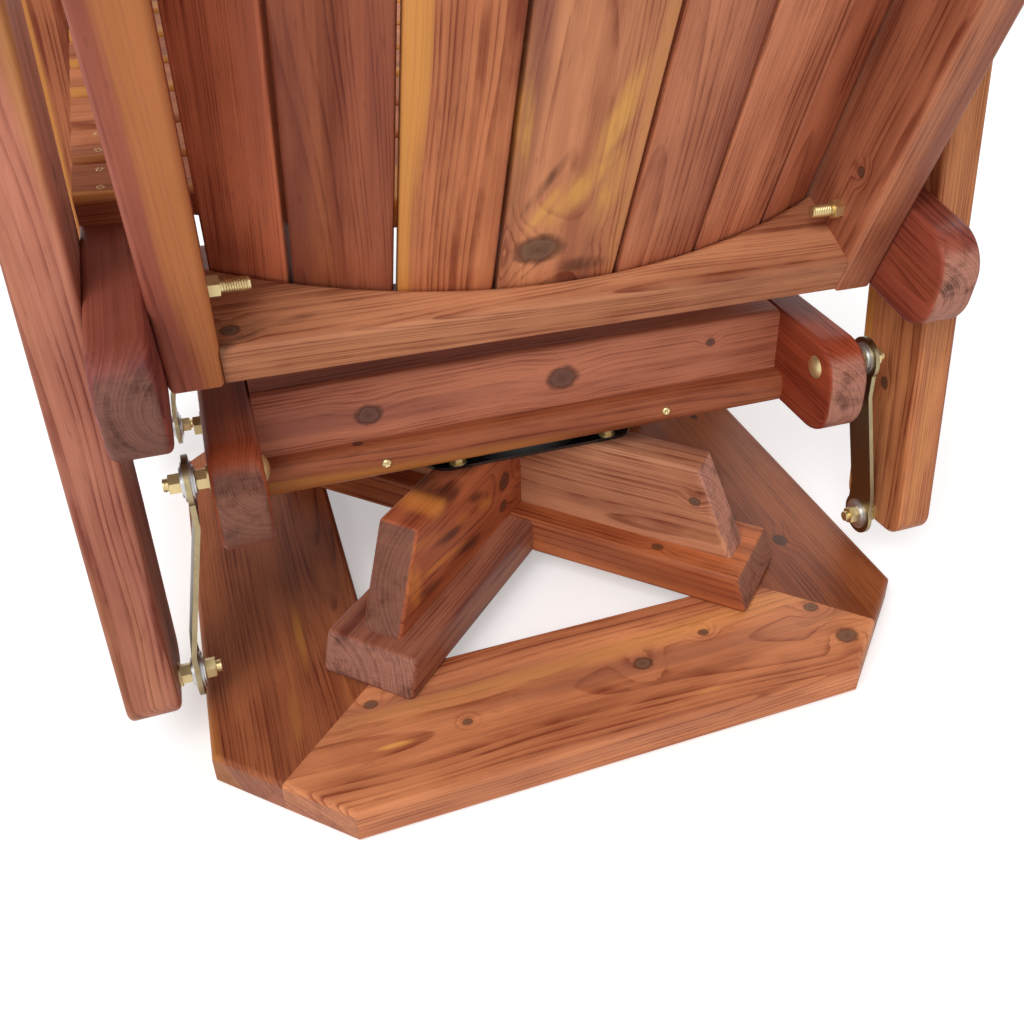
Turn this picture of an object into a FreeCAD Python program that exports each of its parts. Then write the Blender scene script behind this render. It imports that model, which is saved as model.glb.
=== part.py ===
import FreeCAD, Part
import math
import os
import re

import Sketcher
from FreeCAD import Vector

# Adirondack swivel glider, millimetres and degrees. The chair's front faces -Y and +X is the sitter's left.
# The origin is on the floor, on the axis of the swivel.

# Driving sizes: name, value, meaning
SIZES = [
    ("plank_thick", "38.1", "thickness of the planks"),
    ("plank_wide", "88.9", "width of the planks"),
    ("edge_round", "5", "rounding along the edges of the wood"),
    ("end_round", "36", "rounding of the plank ends that show"),
    ("corner_round", "10", "rounding of the small plank corners"),
    ("base_span", "628", "base ring across its flats"),
    ("base_board_wide", "139.7", "width of the base boards"),
    ("base_board_thick", "30", "thickness of the base boards"),
    ("corner_clip", "95", "leg of the cut at each base corner"),
    ("lap_play", "0.2", "room at each side of a half lap"),
    ("arm_rest", "20.2", "lower cross arms past the inner corners of the ring"),
    ("lower_arm_bevel", "12.7", "slope of the lower arm ends"),
    ("upper_arm_length", "479.2", "upper cross arms along their underside"),
    ("upper_arm_bevel", "39.8", "slope of the upper arm ends"),
    ("screw_inset", "3.5", "base screws past the inner corners of the ring, along an arm"),
    ("screw_aside", "22", "base screws from the middle of an arm"),
    ("screw_radius", "3", "wood screw shank"),
    ("screw_head", "4.6", "wood screw head radius"),
    ("screw_head_thick", "3.5", "wood screw head thickness"),
    ("screw_length", "46", "wood screw shank length"),
    ("screw_sink", "0.5", "how far the base screw heads lie below the wood"),
    ("hole_play", "0.15", "room round a screw or bolt in its hole"),
    ("plate_wide", "200", "swivel plates across the chair"),
    ("plate_deep", "160", "swivel plates along the chair"),
    ("plate_thick", "3", "swivel plate steel"),
    ("plate_corner", "22", "swivel plate corner radius"),
    ("swivel_height", "24", "both swivel plates and the race between them"),
    ("race_radius", "59", "circle of the balls"),
    ("race_foot", "5", "race flange past the circle of the balls"),
    ("race_wall", "3.4", "thickness of the race walls"),
    ("race_lap", "2", "race walls past the middle of the balls"),
    ("ball_radius", "4", "swivel balls"),
    ("ball_play", "0.1", "room between the balls and the races"),
    ("ball_count", "20", "number of swivel balls"),
    ("pin_radius", "8", "swivel pin"),
    ("pin_flange", "14", "flange at the foot of the swivel pin"),
    ("pin_flange_thick", "2.5", "thickness of that flange"),
    ("pin_head", "12", "head that keeps the plates together"),
    ("pin_head_thick", "3.5", "thickness of that head"),
    ("plate_bolt_inset", "8", "plate bolts from the front and rear edges of the plates"),
    ("plate_bolt_radius", "3.9", "plate bolt shank"),
    ("plate_bolt_flats", "11", "plate bolt head across its flats"),
    ("plate_bolt_head", "5", "plate bolt head thickness"),
    ("plate_bolt_reach", "24", "plate bolts in the wood"),
    ("plate_washer", "8", "washers under the plate bolts"),
    ("washer_thick", "1.5", "thickness of the washers"),
    ("rail_gap", "53", "stringers' inner faces to the carriage rails' inner faces"),
    ("rail_reach", "30", "carriage rails past their pivots"),
    ("flat_gap", "38", "gap between the two flat boards"),
    ("flat_thick", "30", "thickness of the flat boards"),
    ("flat_edge_round", "10", "rounding of the flat boards' outer edges"),
    ("flat_screw_aside", "128", "screws in the flat boards' edges from the middle of the pair"),
    ("flat_screw_shift", "12", "that middle from the middle of the flat boards"),
    ("cross_rail_setback", "18", "cross rails from the outer edge of the flat boards"),
    ("lag_radius", "4", "lag bolt shank"),
    ("lag_reach", "40", "lag bolts in the cross rails"),
    ("lag_head", "6", "lag bolt head thickness"),
    ("lag_washer", "11", "washers under the lag bolts"),
    ("hex_flats", "14.3", "nuts and lag heads across their flats"),
    ("hex_bevel", "30", "slope of the turned corners of nuts and bolt heads"),
    ("pivot_rear", "157", "rear link pivots from the swivel axis"),
    ("link_spread", "400", "rear pivots to front pivots"),
    ("pivot_inset", "25", "upper pivots below the top of the rails"),
    ("link_length", "180", "pivot to pivot of a link"),
    ("strap_thick", "4", "link steel"),
    ("strap_waist", "34", "link width between its eyes"),
    ("eye_radius", "20", "rounded ends of the links"),
    ("upper_tab", "32", "upper pivot to the first bend"),
    ("lower_tab", "28", "lower pivot to the second bend"),
    ("bend_radius", "12", "bends of the links"),
    ("bolt_radius", "4.75", "pivot and frame bolts"),
    ("bolt_head", "10.5", "domed bolt head radius"),
    ("bolt_head_thick", "4.5", "domed bolt head height"),
    ("pivot_fit", "0.08", "running clearance of the bearings on the bolts"),
    ("pivot_play", "0.3", "room at each side of a bearing"),
    ("bearing_radius", "15", "bearing flanges"),
    ("bearing_hub", "10", "bearing hub in the link's eye"),
    ("bearing_step", "11.5", "raised ring of a bearing"),
    ("bearing_flange", "1.5", "thickness of a bearing flange"),
    ("bearing_long", "10", "length of a bearing"),
    ("spacer_flange", "1.5", "flange of a spacer nut"),
    ("spacer_flange_radius", "10", "radius of that flange"),
    ("nut_thick", "8", "thickness of the nuts"),
    ("thread_end", "4", "bolt end past a link nut"),
    ("stringer_inner", "290", "seat stringers' inner faces from the middle"),
    ("stringer_tail", "243.6", "rear end of the stringers"),
    ("seat_rise", "317.85", "stringers' top edge at that end above the lower pivots"),
    ("stringer_nose", "96", "stringers past the front legs' joints"),
    ("seat_slope", "10.6", "fall of the seat towards the back"),
    ("seat_slat_wide", "50", "width of the seat slats"),
    ("seat_slat_thick", "22", "thickness of the seat slats"),
    ("seat_slat_gap", "6", "gap between the seat slats"),
    ("seat_back_gap", "8", "back slats to the rear seat slat"),
    ("seat_slat_stop", "4", "least distance from the front seat slat to the stringers' front end"),
    ("slat_end_play", "1", "seat slat ends from the legs"),
    ("stretcher_front", "30", "front stretcher from the stringers' front end"),
    ("leg_rake", "5.4", "lean of the legs, feet to the rear"),
    ("leg_foot", "10", "legs below the lower pivots"),
    ("foot_round", "20", "rounding of the legs' lower corners"),
    ("frame_bolt_step", "22", "front leg bolts from the middle of the joint"),
    ("frame_thread", "8", "frame bolt ends past their nuts"),
    ("post_thread", "20", "post bolt ends past their nuts"),
    ("post_bolt_ahead", "18", "post bolts in front of the rear pivots"),
    ("post_bolt_drop", "17.3", "post bolts below the stringers' top edge"),
    ("recline", "25", "lean of the back"),
    ("post_ahead", "96.6", "rear lower edge of the back posts in front of the stringers' rear end"),
    ("post_drop", "70.75", "that edge below the stringers' top edge at their rear end"),
    ("post_length", "560", "length of the back posts"),
    ("back_curve", "577", "radius of the curved back rails"),
    ("back_waist", "23.3", "depth of the curved rails at the middle"),
    ("upper_rail_drop", "105", "underside of the upper back rail below the top of the posts"),
    ("back_height", "720", "length of the middle back slat"),
    ("back_arch", "370", "radius of the arched top of the back"),
    ("back_slat_thick", "20", "thickness of the back slats"),
    ("middle_slat", "95", "width of the middle back slat"),
    ("inner_slat", "71", "width of the four slats beside it"),
    ("back_slat_gap", "4", "gap between the back slats, in the hollow of the curved rails"),
    ("slat_round", "2.5", "rounding along the back slats"),
    ("slat_seat", "0.05", "room between the slats and the curved rails"),
    ("arm_rise", "605.1", "top of the armrests above the lower pivots"),
    ("arm_thick", "25.4", "thickness of the armrests"),
    ("arm_inset", "18", "armrests' inner edges inside the stringers"),
    ("arm_overhang", "25.8", "armrests past the outer faces of the legs"),
    ("arm_reach", "129.7", "armrests past the middle of the front legs"),
    ("arm_rear_inset", "6.1", "rear end of the armrests from the back of the posts"),
    ("arm_nose", "45", "rounded front corners of the armrests"),
    ("arm_taper", "150", "start of the armrests' taper in front of the swivel axis"),
    ("arm_tail", "76", "width of the armrests at their rear end"),
    ("arm_post_play", "0.3", "room between the armrests and the posts"),
    ("arm_notch_play", "14", "notch for the posts, in front of them"),
    ("arm_notch_slope", "18", "slanted part of that notch"),
]

# Sizes worked out from the driving ones: name, formula, meaning
DERIVED = [
    ("base_half", "=base_span / 2", "outer edge of the base ring"),
    ("base_inner", "=base_half - base_board_wide", "inner edge of the base ring"),
    ("mitre_tip", "=base_half - corner_clip / 2", "outer end of the mitres"),
    ("lower_arm_length", "=2 * (base_inner * sqrt(2) + arm_rest)", "lower cross arms along their underside"),
    ("screw_along", "=base_inner * sqrt(2) + screw_inset", "base screws from the middle, along an arm"),
    ("upper_cross", "=base_board_thick + plank_thick", "underside of the upper cross"),
    ("plate_level", "=upper_cross + plank_wide", "underside of the lower swivel plate"),
    ("plate_bolt_out", "=plate_deep / 2 - plate_bolt_inset", "plate bolts from the swivel axis, each way"),
    ("race_level", "=plate_level + plate_thick", "top of the lower swivel plate"),
    ("race_room", "=swivel_height - 2 * plate_thick", "room between the swivel plates"),
    ("ball_reach", "=ball_radius + ball_play", "ball with its room"),
    ("carriage_level", "=plate_level + swivel_height", "underside of the carriage"),
    ("rail_top", "=carriage_level + plank_wide", "top of the carriage rails"),
    ("rail_inner", "=stringer_inner - rail_gap", "carriage rails' inner faces"),
    ("rail_outer", "=rail_inner + plank_thick", "carriage rails' outer faces"),
    ("flat_outer", "=flat_gap / 2 + plank_wide", "outer edge of the flat boards"),
    ("cross_rail_outer", "=flat_outer - cross_rail_setback", "outer face of the cross rails"),
    ("cross_rail_middle", "=cross_rail_outer - plank_thick / 2", "middle of the cross rails"),
    ("lag_height", "=(flat_thick + plank_wide) / 2", "lag bolts above the carriage's underside"),
    ("pivot_top", "=rail_top - pivot_inset", "height of the upper pivots"),
    ("pivot_low", "=pivot_top - link_length", "height of the lower pivots"),
    ("pivot_front", "=pivot_rear - link_spread", "front pivots"),
    ("rail_rear", "=pivot_rear + rail_reach", "rear end of the carriage rails"),
    ("rail_front", "=rail_reach - pivot_front", "front end of the carriage rails"),
    ("leg_inner", "=stringer_inner + plank_thick", "inner faces of the legs"),
    ("leg_outer", "=leg_inner + plank_thick", "outer faces of the legs"),
    ("post_inner", "=stringer_inner - plank_thick", "inner faces of the back posts"),
    ("spacer_long", "=spacer_flange + nut_thick", "length of a spacer nut"),
    ("strap_stack", "=spacer_long + pivot_play + bearing_long / 2", "wood to the middle of a strap"),
    ("strap_upper", "=rail_outer + strap_stack", "middle of a strap at its upper eye"),
    ("strap_lower", "=leg_inner - strap_stack", "middle of a strap at its lower eye"),
    ("joggle", "=strap_lower - strap_upper", "sideways step of the links"),
    ("pivot_nut", "=strap_stack + bearing_long / 2 + pivot_play", "wood to the outer nut of a pivot"),
    ("pivot_bolt_long", "=plank_thick + pivot_nut + nut_thick + thread_end", "length of a pivot bolt"),
    ("stringer_tail_top", "=pivot_low + seat_rise", "height of the stringers' top edge at their rear end"),
    ("front_joint_y", "=pivot_front - seat_rise * tan(leg_rake)", "front legs where they meet the stringers"),
    ("front_joint_drop", "=(stringer_tail - front_joint_y) * tan(seat_slope) - plank_wide / 2",
     "that joint above the stringers' top edge at their rear end"),
    ("front_joint_z", "=stringer_tail_top + front_joint_drop", "height of that joint"),
    ("stringer_length", "=(stringer_tail - front_joint_y) / cos(seat_slope) + stringer_nose",
     "length of the stringers"),
    ("post_bolt_y", "=pivot_rear - post_bolt_ahead", "post bolts behind the swivel axis"),
    ("post_bolt_z", "=stringer_tail_top + (stringer_tail - post_bolt_y) * tan(seat_slope) - post_bolt_drop",
     "height of the post bolts"),
    ("post_foot_y", "=stringer_tail - post_ahead", "rear lower edge of the back posts"),
    ("post_foot_z", "=stringer_tail_top - post_drop", "height of that edge"),
    ("post_deep", "=plank_wide / cos(recline)", "level depth of the leaning posts"),
    ("post_lean", "=tan(seat_slope) * tan(recline)", "slope of the stringers by the lean of the posts"),
    ("post_front_y", "=(post_foot_y - post_deep + post_drop * tan(recline) + stringer_tail * post_lean)"
     " / (1 + post_lean)", "front of the posts on the stringers' top edge"),
    ("upper_rail", "=post_length - upper_rail_drop", "upper back rail above the lower one"),
    ("back_rail_end", "=back_waist + back_curve - sqrt(back_curve ^ 2 - post_inner ^ 2)",
     "depth of the curved rails at the posts"),
    ("slats_past_posts", "=(back_rail_end + slat_seat + back_slat_thick - plank_wide)"
     " / cos(recline - seat_slope)", "outermost back slats in front of the posts, along the seat"),
    ("seat_slat_first", "=(stringer_tail - post_front_y) / cos(seat_slope) + slats_past_posts"
     " + seat_back_gap", "rear slat from the stringers' rear end"),
    ("rear_slat_curve", "=back_curve - back_slat_thick", "curve of the rear seat slat, along the back"),
    ("middle_slat_turn", "=asin(middle_slat / 2 / back_curve)", "half the middle slat, round the back"),
    ("inner_slat_turn", "=asin(inner_slat / 2 / back_curve)", "half an inner slat, round the back"),
    ("slat_gap_turn", "=2 * asin(back_slat_gap / 2 / back_curve)", "a gap between slats, round the back"),
    ("slats_edge_turn", "=asin((post_inner - back_slat_gap / 2) / back_curve)",
     "outer edge of the outermost slats, round the back"),
    ("outer_slat_turn", "=(slats_edge_turn - middle_slat_turn - 3 * slat_gap_turn) / 2 - 2 * inner_slat_turn",
     "half an outermost slat, round the back"),
    ("outer_slat", "=2 * back_curve * sin(outer_slat_turn)", "width of the outermost back slats"),
    ("arm_top", "=pivot_low + arm_rise", "height of the armrests"),
    ("arm_under", "=arm_top - arm_thick", "underside of the armrests"),
    ("leg_rise", "=arm_under - pivot_low", "legs above the lower pivots"),
    ("arm_inner", "=stringer_inner - arm_inset", "armrests' inner edges"),
    ("arm_outer", "=leg_outer + arm_overhang", "armrests' outer edges"),
    ("arm_front", "=leg_rise * tan(leg_rake) - pivot_front + arm_reach", "front of the armrests"),
    ("post_rear_at_arm", "=post_foot_y + (arm_under - post_foot_z) * tan(recline)",
     "back of the posts under the armrests"),
    ("arm_rear", "=post_rear_at_arm - arm_rear_inset", "rear end of the armrests"),
    ("arm_notch", "=post_rear_at_arm - post_deep - arm_notch_play", "start of the notch for the posts"),
]

NAMES = {name for name, content, meaning in SIZES + DERIVED}
X_AXIS = Vector(1, 0, 0)
Y_AXIS = Vector(0, 1, 0)
Z_AXIS = Vector(0, 0, 1)
SAME = 1e-4

doc = FreeCAD.newDocument("swivel_glider")
sheet = doc.addObject("Spreadsheet::Sheet", "Sizes")
nodes = {}


def fill_sheet():
    for row, (name, content, meaning) in enumerate(SIZES + DERIVED, start=1):
        sheet.set(f"A{row}", meaning)
        sheet.set(f"B{row}", content)
        sheet.setAlias(f"B{row}", name)
    doc.recompute()


def tie(formula):
    """Point each size name in a formula at its cell in the sheet."""
    return re.sub(r"[a-z_]+", lambda word: f"Sizes.{word[0]}" if word[0] in NAMES else word[0], formula)


def size(formula):
    return float(sheet.evalExpression(tie(formula)))


def bind(thing, prop, formula):
    thing.setExpression(prop, tie(formula))


def new_body(label, exported=True):
    body = doc.addObject("PartDesign::Body", label)
    body.Label = label
    if exported:
        nodes[label] = body
    return body


def turned(axis, angle):
    """Formula of a rotation about an axis of the frame, by degrees or a size name."""
    return f"rotation(vector({axis.x}; {axis.y}; {axis.z}); {angle})"


def spot(x="0", y="0", z="0", turn=None):
    """Formula of a placement at x, y, z, turned about that spot."""
    return f"placement(vector({x}; {y}; {z}); {turn or turned(Z_AXIS, 0)})"


def place(thing, formula):
    bind(thing, "Placement", formula)


def mirrored(label, source):
    twin = doc.addObject("Part::Mirroring", label)
    twin.Label = label
    twin.Source = source
    twin.Normal = X_AXIS
    nodes[label] = twin
    return twin


def group(label, copies):
    """One node of separate solids: each copy is a master piece and the formula of its placement."""
    links = []
    for number, (master, formula) in enumerate(copies, start=1):
        link = doc.addObject("App::Link", f"{label}_{number}")
        link.LinkedObject = master
        place(link, formula)
        links.append(link)
    whole = doc.addObject("Part::Compound", label)
    whole.Label = label
    whole.Links = links
    nodes[label] = whole
    return whole


def new_sketch(body, role, offset=None):
    sketch = body.newObject("Sketcher::SketchObject", "Sketch")
    support = next(plane for plane in body.Origin.OriginFeatures if plane.Role == role)
    sketch.AttachmentSupport = [(support, "")]
    sketch.MapMode = "FlatFace"
    if offset:
        bind(sketch, "AttachmentOffset.Base.z", offset)
    return sketch


def pin_point(sketch, geometry, end, x, y):
    """Hold a sketch point at the spot that two formulas give."""
    for kind, formula in (("DistanceX", x), ("DistanceY", y)):
        number = sketch.addConstraint(Sketcher.Constraint(kind, -1, 1, geometry, end, size(formula)))
        bind(sketch, f"Constraints[{number}]", formula)


def hold_radius(sketch, geometry, formula):
    number = sketch.addConstraint(Sketcher.Constraint("Radius", geometry, size(formula)))
    bind(sketch, f"Constraints[{number}]", formula)


def arc_between(start, finish, radius):
    """Arc of under half a circle, with its centre to the left of the way for a positive radius."""
    chord = finish - start
    side = Vector(-chord.y, chord.x, 0).normalize()
    lift = math.sqrt(radius ** 2 - (chord.Length / 2) ** 2)
    centre = (start + finish) * 0.5 + side * math.copysign(lift, radius)
    circle = Part.Circle(centre, Z_AXIS, abs(radius))
    first, last = (start, finish) if radius > 0 else (finish, start)
    return Part.ArcOfCircle(circle, circle.parameter(first), circle.parameter(last))


def outline(sketch, corners):
    """Closed outline through corners (x, y), or (x, y, radius) where an arc leads to the next corner."""
    spots = [Vector(size(corner[0]), size(corner[1]), 0) for corner in corners]
    pieces = []
    for number, corner in enumerate(corners):
        start = spots[number]
        finish = spots[(number + 1) % len(spots)]
        if len(corner) == 2:
            line = sketch.addGeometry(Part.LineSegment(start, finish), False)
            pieces.append((line, 1, 2))
        else:
            radius = size(corner[2])
            arc = sketch.addGeometry(arc_between(start, finish, radius), False)
            pieces.append((arc, 1, 2) if radius > 0 else (arc, 2, 1))
            hold_radius(sketch, arc, f"abs({corner[2]})")
    for number, (piece, head, tail) in enumerate(pieces):
        following, next_head, next_tail = pieces[(number + 1) % len(pieces)]
        sketch.addConstraint(Sketcher.Constraint("Coincident", piece, tail, following, next_head))
    for (piece, head, tail), corner in zip(pieces, corners):
        pin_point(sketch, piece, head, corner[0], corner[1])


def rectangle(left, low, right, high):
    return [(left, low), (right, low), (right, high), (left, high)]


def hexagon(flats):
    """Corners of a hexagon, from its width across the flats."""
    point = f"{flats} / sqrt(3)"
    return [(point, "0"), (f"{point} / 2", f"{flats} / 2"), (f"-{point} / 2", f"{flats} / 2"),
            (f"-{point}", "0"), (f"-{point} / 2", f"-{flats} / 2"), (f"{point} / 2", f"-{flats} / 2")]


def pad(body, role, corners, length, symmetric=False):
    sketch = new_sketch(body, role)
    outline(sketch, corners)
    feature = body.newObject("PartDesign::Pad", "Pad")
    feature.Profile = sketch
    feature.SideType = "Symmetric" if symmetric else "One side"
    bind(feature, "Length", length)
    doc.recompute()


def spin(body, corners):
    """Revolve an outline of radius and height about the body's Z axis."""
    sketch = new_sketch(body, "XZ_Plane")
    outline(sketch, corners)
    feature = body.newObject("PartDesign::Revolution", "Revolution")
    feature.Profile = sketch
    feature.ReferenceAxis = (sketch, ["V_Axis"])
    feature.Angle = 360
    doc.recompute()


def cut(body, sketch, depth=None, reverse=False):
    """Pocket a sketch, right through the piece if there is no depth."""
    before = body.Shape.Volume
    feature = body.newObject("PartDesign::Pocket", "Pocket")
    feature.Profile = sketch
    if depth:
        bind(feature, "Length", depth)
        feature.Reversed = reverse
    else:
        feature.Type = "ThroughAll"
        feature.SideType = "Symmetric"
    doc.recompute()
    if body.Shape.Volume > before - SAME:
        raise RuntimeError(f"a cut in {body.Label} takes nothing away")


def slot(body, role, corners):
    sketch = new_sketch(body, role)
    outline(sketch, corners)
    cut(body, sketch)


def drill(body, role, spots, radius, depth=None, reverse=False, offset=None):
    """Round holes at spots given by formulas."""
    sketch = new_sketch(body, role, offset)
    for x, y in spots:
        circle = Part.Circle(Vector(size(x), size(y), 0), Z_AXIS, size(radius))
        number = sketch.addGeometry(circle, False)
        pin_point(sketch, number, 3, x, y)
        hold_radius(sketch, number, radius)
    cut(body, sketch, depth, reverse)


def runs_along(edge, axis):
    straight = edge.Curve.TypeId == "Part::GeomLine"
    return straight and abs(abs(edge.tangentAt(edge.FirstParameter).dot(axis)) - 1) < SAME


def lies_across(edge, axis):
    """True for an edge in a plane square to the axis."""
    heights = [edge.valueAt(edge.FirstParameter).dot(axis), middle(edge).dot(axis),
               edge.valueAt(edge.LastParameter).dot(axis)]
    return max(heights) - min(heights) < SAME


def middle(edge):
    return edge.valueAt((edge.FirstParameter + edge.LastParameter) / 2)


def round_edges(body, radius, chosen):
    """Fillet the edges of the piece so far that the test picks."""
    so_far = body.Tip
    picked = [f"Edge{number}" for number, edge in enumerate(so_far.Shape.Edges, start=1) if chosen(edge)]
    feature = body.newObject("PartDesign::Fillet", "Round")
    feature.Base = (so_far, picked)
    bind(feature, "Radius", radius)
    doc.recompute()


def tilted(y, z, angle):
    """A spot in the frame of a piece that leans to the rear by an angle, from offsets in Y and Z."""
    return (f"({y}) * cos({angle}) - ({z}) * sin({angle})",
            f"({y}) * sin({angle}) + ({z}) * cos({angle})")


def base_ring():
    """Four mitred boards with the corners of the square cut off."""
    corners = [("-base_inner", "base_inner"), ("base_inner", "base_inner"), ("mitre_tip", "mitre_tip"),
               ("base_half - corner_clip", "base_half"), ("corner_clip - base_half", "base_half"),
               ("-mitre_tip", "mitre_tip")]
    screw_x = "(screw_along - screw_aside) / sqrt(2)"
    screw_y = "(screw_along + screw_aside) / sqrt(2)"
    spots = [(screw_x, screw_y), (f"-{screw_x}", screw_y)]
    for label, angle in (("rear", 0), ("right", 90), ("front", 180), ("left", 270)):
        board = new_body(f"base_board_{label}")
        pad(board, "XY_Plane", corners, "base_board_thick")
        round_edges(board, "edge_round", lambda edge: lies_across(edge, Z_AXIS) and off_mitre(edge))
        drill(board, "XY_Plane", spots, "screw_radius + hole_play")
        drill(board, "XY_Plane", spots, "screw_head + hole_play", "screw_head_thick + screw_sink", True)
        place(board, spot(turn=turned(Z_AXIS, angle)))


def off_mitre(edge):
    point = middle(edge)
    return abs(abs(point.x) - abs(point.y)) > SAME


def arm_profile(length, bevel, tall):
    return [(f"-{length} / 2", "0"), (f"{length} / 2", "0"),
            (f"{length} / 2 - {bevel}", tall), (f"{bevel} - {length} / 2", tall)]


def half_lap(width, tall, upper):
    """Outline of the notch in the upper or lower half of a cross arm, past its surface."""
    low, high = (f"{tall} / 2", f"2 * {tall}") if upper else (f"-{tall}", f"{tall} / 2")
    return rectangle(f"-{width} / 2 - lap_play", low, f"{width} / 2 + lap_play", high)


def crosses():
    """Flat arms on the base ring and arms on edge above them, half lapped along the diagonals."""
    spots = [(x, y) for x in ("screw_along", "-screw_along") for y in ("screw_aside", "-screw_aside")]
    bolts = [("plate_bolt_out * sqrt(2)", "0"), ("-plate_bolt_out * sqrt(2)", "0")]
    for letter, angle, notch_up in (("a", 45, True), ("b", -45, False)):
        low = new_body(f"lower_cross_{letter}")
        profile = arm_profile("lower_arm_length", "lower_arm_bevel", "plank_thick")
        pad(low, "XZ_Plane", profile, "plank_wide", True)
        round_edges(low, "edge_round", lambda edge: True)
        slot(low, "XZ_Plane", half_lap("plank_wide", "plank_thick", notch_up))
        drill(low, "XY_Plane", spots, "screw_radius + hole_play",
              "screw_sink + screw_head_thick + screw_length - base_board_thick + hole_play", True)
        place(low, spot(z="base_board_thick", turn=turned(Z_AXIS, angle)))
        high = new_body(f"upper_cross_{letter}")
        profile = arm_profile("upper_arm_length", "upper_arm_bevel", "plank_wide")
        pad(high, "XZ_Plane", profile, "plank_thick", True)
        round_edges(high, "edge_round", lambda edge: middle(edge).z > SAME)
        slot(high, "XZ_Plane", half_lap("plank_thick", "plank_wide", notch_up))
        drill(high, "XY_Plane", bolts, "plate_bolt_radius + hole_play")
        place(high, spot(z="upper_cross", turn=turned(Z_AXIS, angle)))


def plate_spots():
    """Centres of the four bolts of a swivel plate."""
    signed = ("plate_bolt_out", "-plate_bolt_out")
    return [(x, y) for x in signed for y in signed]


def swivel_plate(label, level):
    plate = new_body(label)
    shape = rectangle("-plate_wide / 2", "-plate_deep / 2", "plate_wide / 2", "plate_deep / 2")
    pad(plate, "XY_Plane", shape, "plate_thick")
    round_edges(plate, "plate_corner", lambda edge: runs_along(edge, Z_AXIS))
    drill(plate, "XY_Plane", plate_spots(), "plate_bolt_radius + hole_play")
    place(plate, spot(z=level))
    return plate


def swivel():
    """Two plates on a ball race, held together by a headed pin."""
    swivel_plate("swivel_lower_plate", "plate_level")
    upper = swivel_plate("swivel_upper_plate", "race_level + race_room")
    drill(upper, "XY_Plane", [("0", "0")], "pin_radius + pivot_fit")

    lower_race = new_body("swivel_lower_race")
    spin(lower_race, [
        ("race_radius - race_foot", "0"), ("race_radius + ball_reach + race_wall", "0"),
        ("race_radius + ball_reach + race_wall", "race_room / 2 + race_lap"),
        ("race_radius + ball_reach", "race_room / 2 + race_lap"),
        ("race_radius + ball_reach", "race_room / 2 - ball_reach"),
        ("race_radius - race_foot", "race_room / 2 - ball_reach")])
    place(lower_race, spot(z="race_level"))

    upper_race = new_body("swivel_upper_race")
    spin(upper_race, [
        ("race_radius + race_foot", "race_room"), ("race_radius - ball_reach - race_wall", "race_room"),
        ("race_radius - ball_reach - race_wall", "race_room / 2 - race_lap"),
        ("race_radius - ball_reach", "race_room / 2 - race_lap"),
        ("race_radius - ball_reach", "race_room / 2 + ball_reach"),
        ("race_radius + race_foot", "race_room / 2 + ball_reach")])
    place(upper_race, spot(z="race_level"))

    ball = doc.addObject("Part::Sphere", "ball")
    bind(ball, "Radius", "ball_radius")
    count = round(size("ball_count"))
    angles = [360 * number / count for number in range(count)]
    group("swivel_balls", [
        (ball, spot(f"race_radius * cos({angle})", f"race_radius * sin({angle})",
                    "race_level + race_room / 2"))
        for angle in angles])

    pin = new_body("swivel_pin")
    spin(pin, [
        ("0", "0"), ("pin_flange", "0"), ("pin_flange", "pin_flange_thick"),
        ("pin_radius", "pin_flange_thick"),
        ("pin_radius", "race_room + plate_thick + pivot_play"),
        ("pin_head", "race_room + plate_thick + pivot_play"),
        ("pin_head", "race_room + plate_thick + pivot_play + pin_head_thick"),
        ("0", "race_room + plate_thick + pivot_play + pin_head_thick")])
    place(pin, spot(z="race_level"))

    bolt = hex_bolt("plate_bolt", "plate_bolt_flats", "plate_bolt_head", "plate_bolt_radius",
                    "plate_thick + plate_bolt_reach", "plate_washer")
    down = turned(X_AXIS, 180)
    group("swivel_lower_bolts", [(bolt, spot(x, y, "race_level", down)) for x, y in plate_spots()])
    group("swivel_upper_bolts", [(bolt, spot(x, y, "race_level + race_room")) for x, y in plate_spots()])


def turn_corners(body, flats, end, inward):
    """Turn the corners off the end of a hexagon; inward is the sign of the way back into the piece."""
    sketch = new_sketch(body, "XZ_Plane")
    outline(sketch, [(f"{flats} / 2", end), (flats, end),
                     (flats, f"{end} {inward} {flats} / 2 * tan(hex_bevel)")])
    feature = body.newObject("PartDesign::Groove", "Groove")
    feature.Profile = sketch
    feature.ReferenceAxis = (sketch, ["V_Axis"])
    feature.Angle = 360
    doc.recompute()


def hex_bolt(label, flats, head, radius, length, washer):
    """Hex bolt along +Z on a washer, with the washer's seat at the origin."""
    bolt = new_body(label, exported=False)
    spin(bolt, [("0", "-washer_thick"), (washer, "-washer_thick"), (washer, "0"), (radius, "0"),
                (radius, length), ("0", length)])
    sketch = new_sketch(bolt, "XY_Plane")
    outline(sketch, hexagon(flats))
    feature = bolt.newObject("PartDesign::Pad", "Head")
    feature.Profile = sketch
    feature.Reversed = True
    bind(feature, "Length", f"{head} + washer_thick")
    doc.recompute()
    turn_corners(bolt, flats, f"-{head} - washer_thick", "+")
    return bolt


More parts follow.
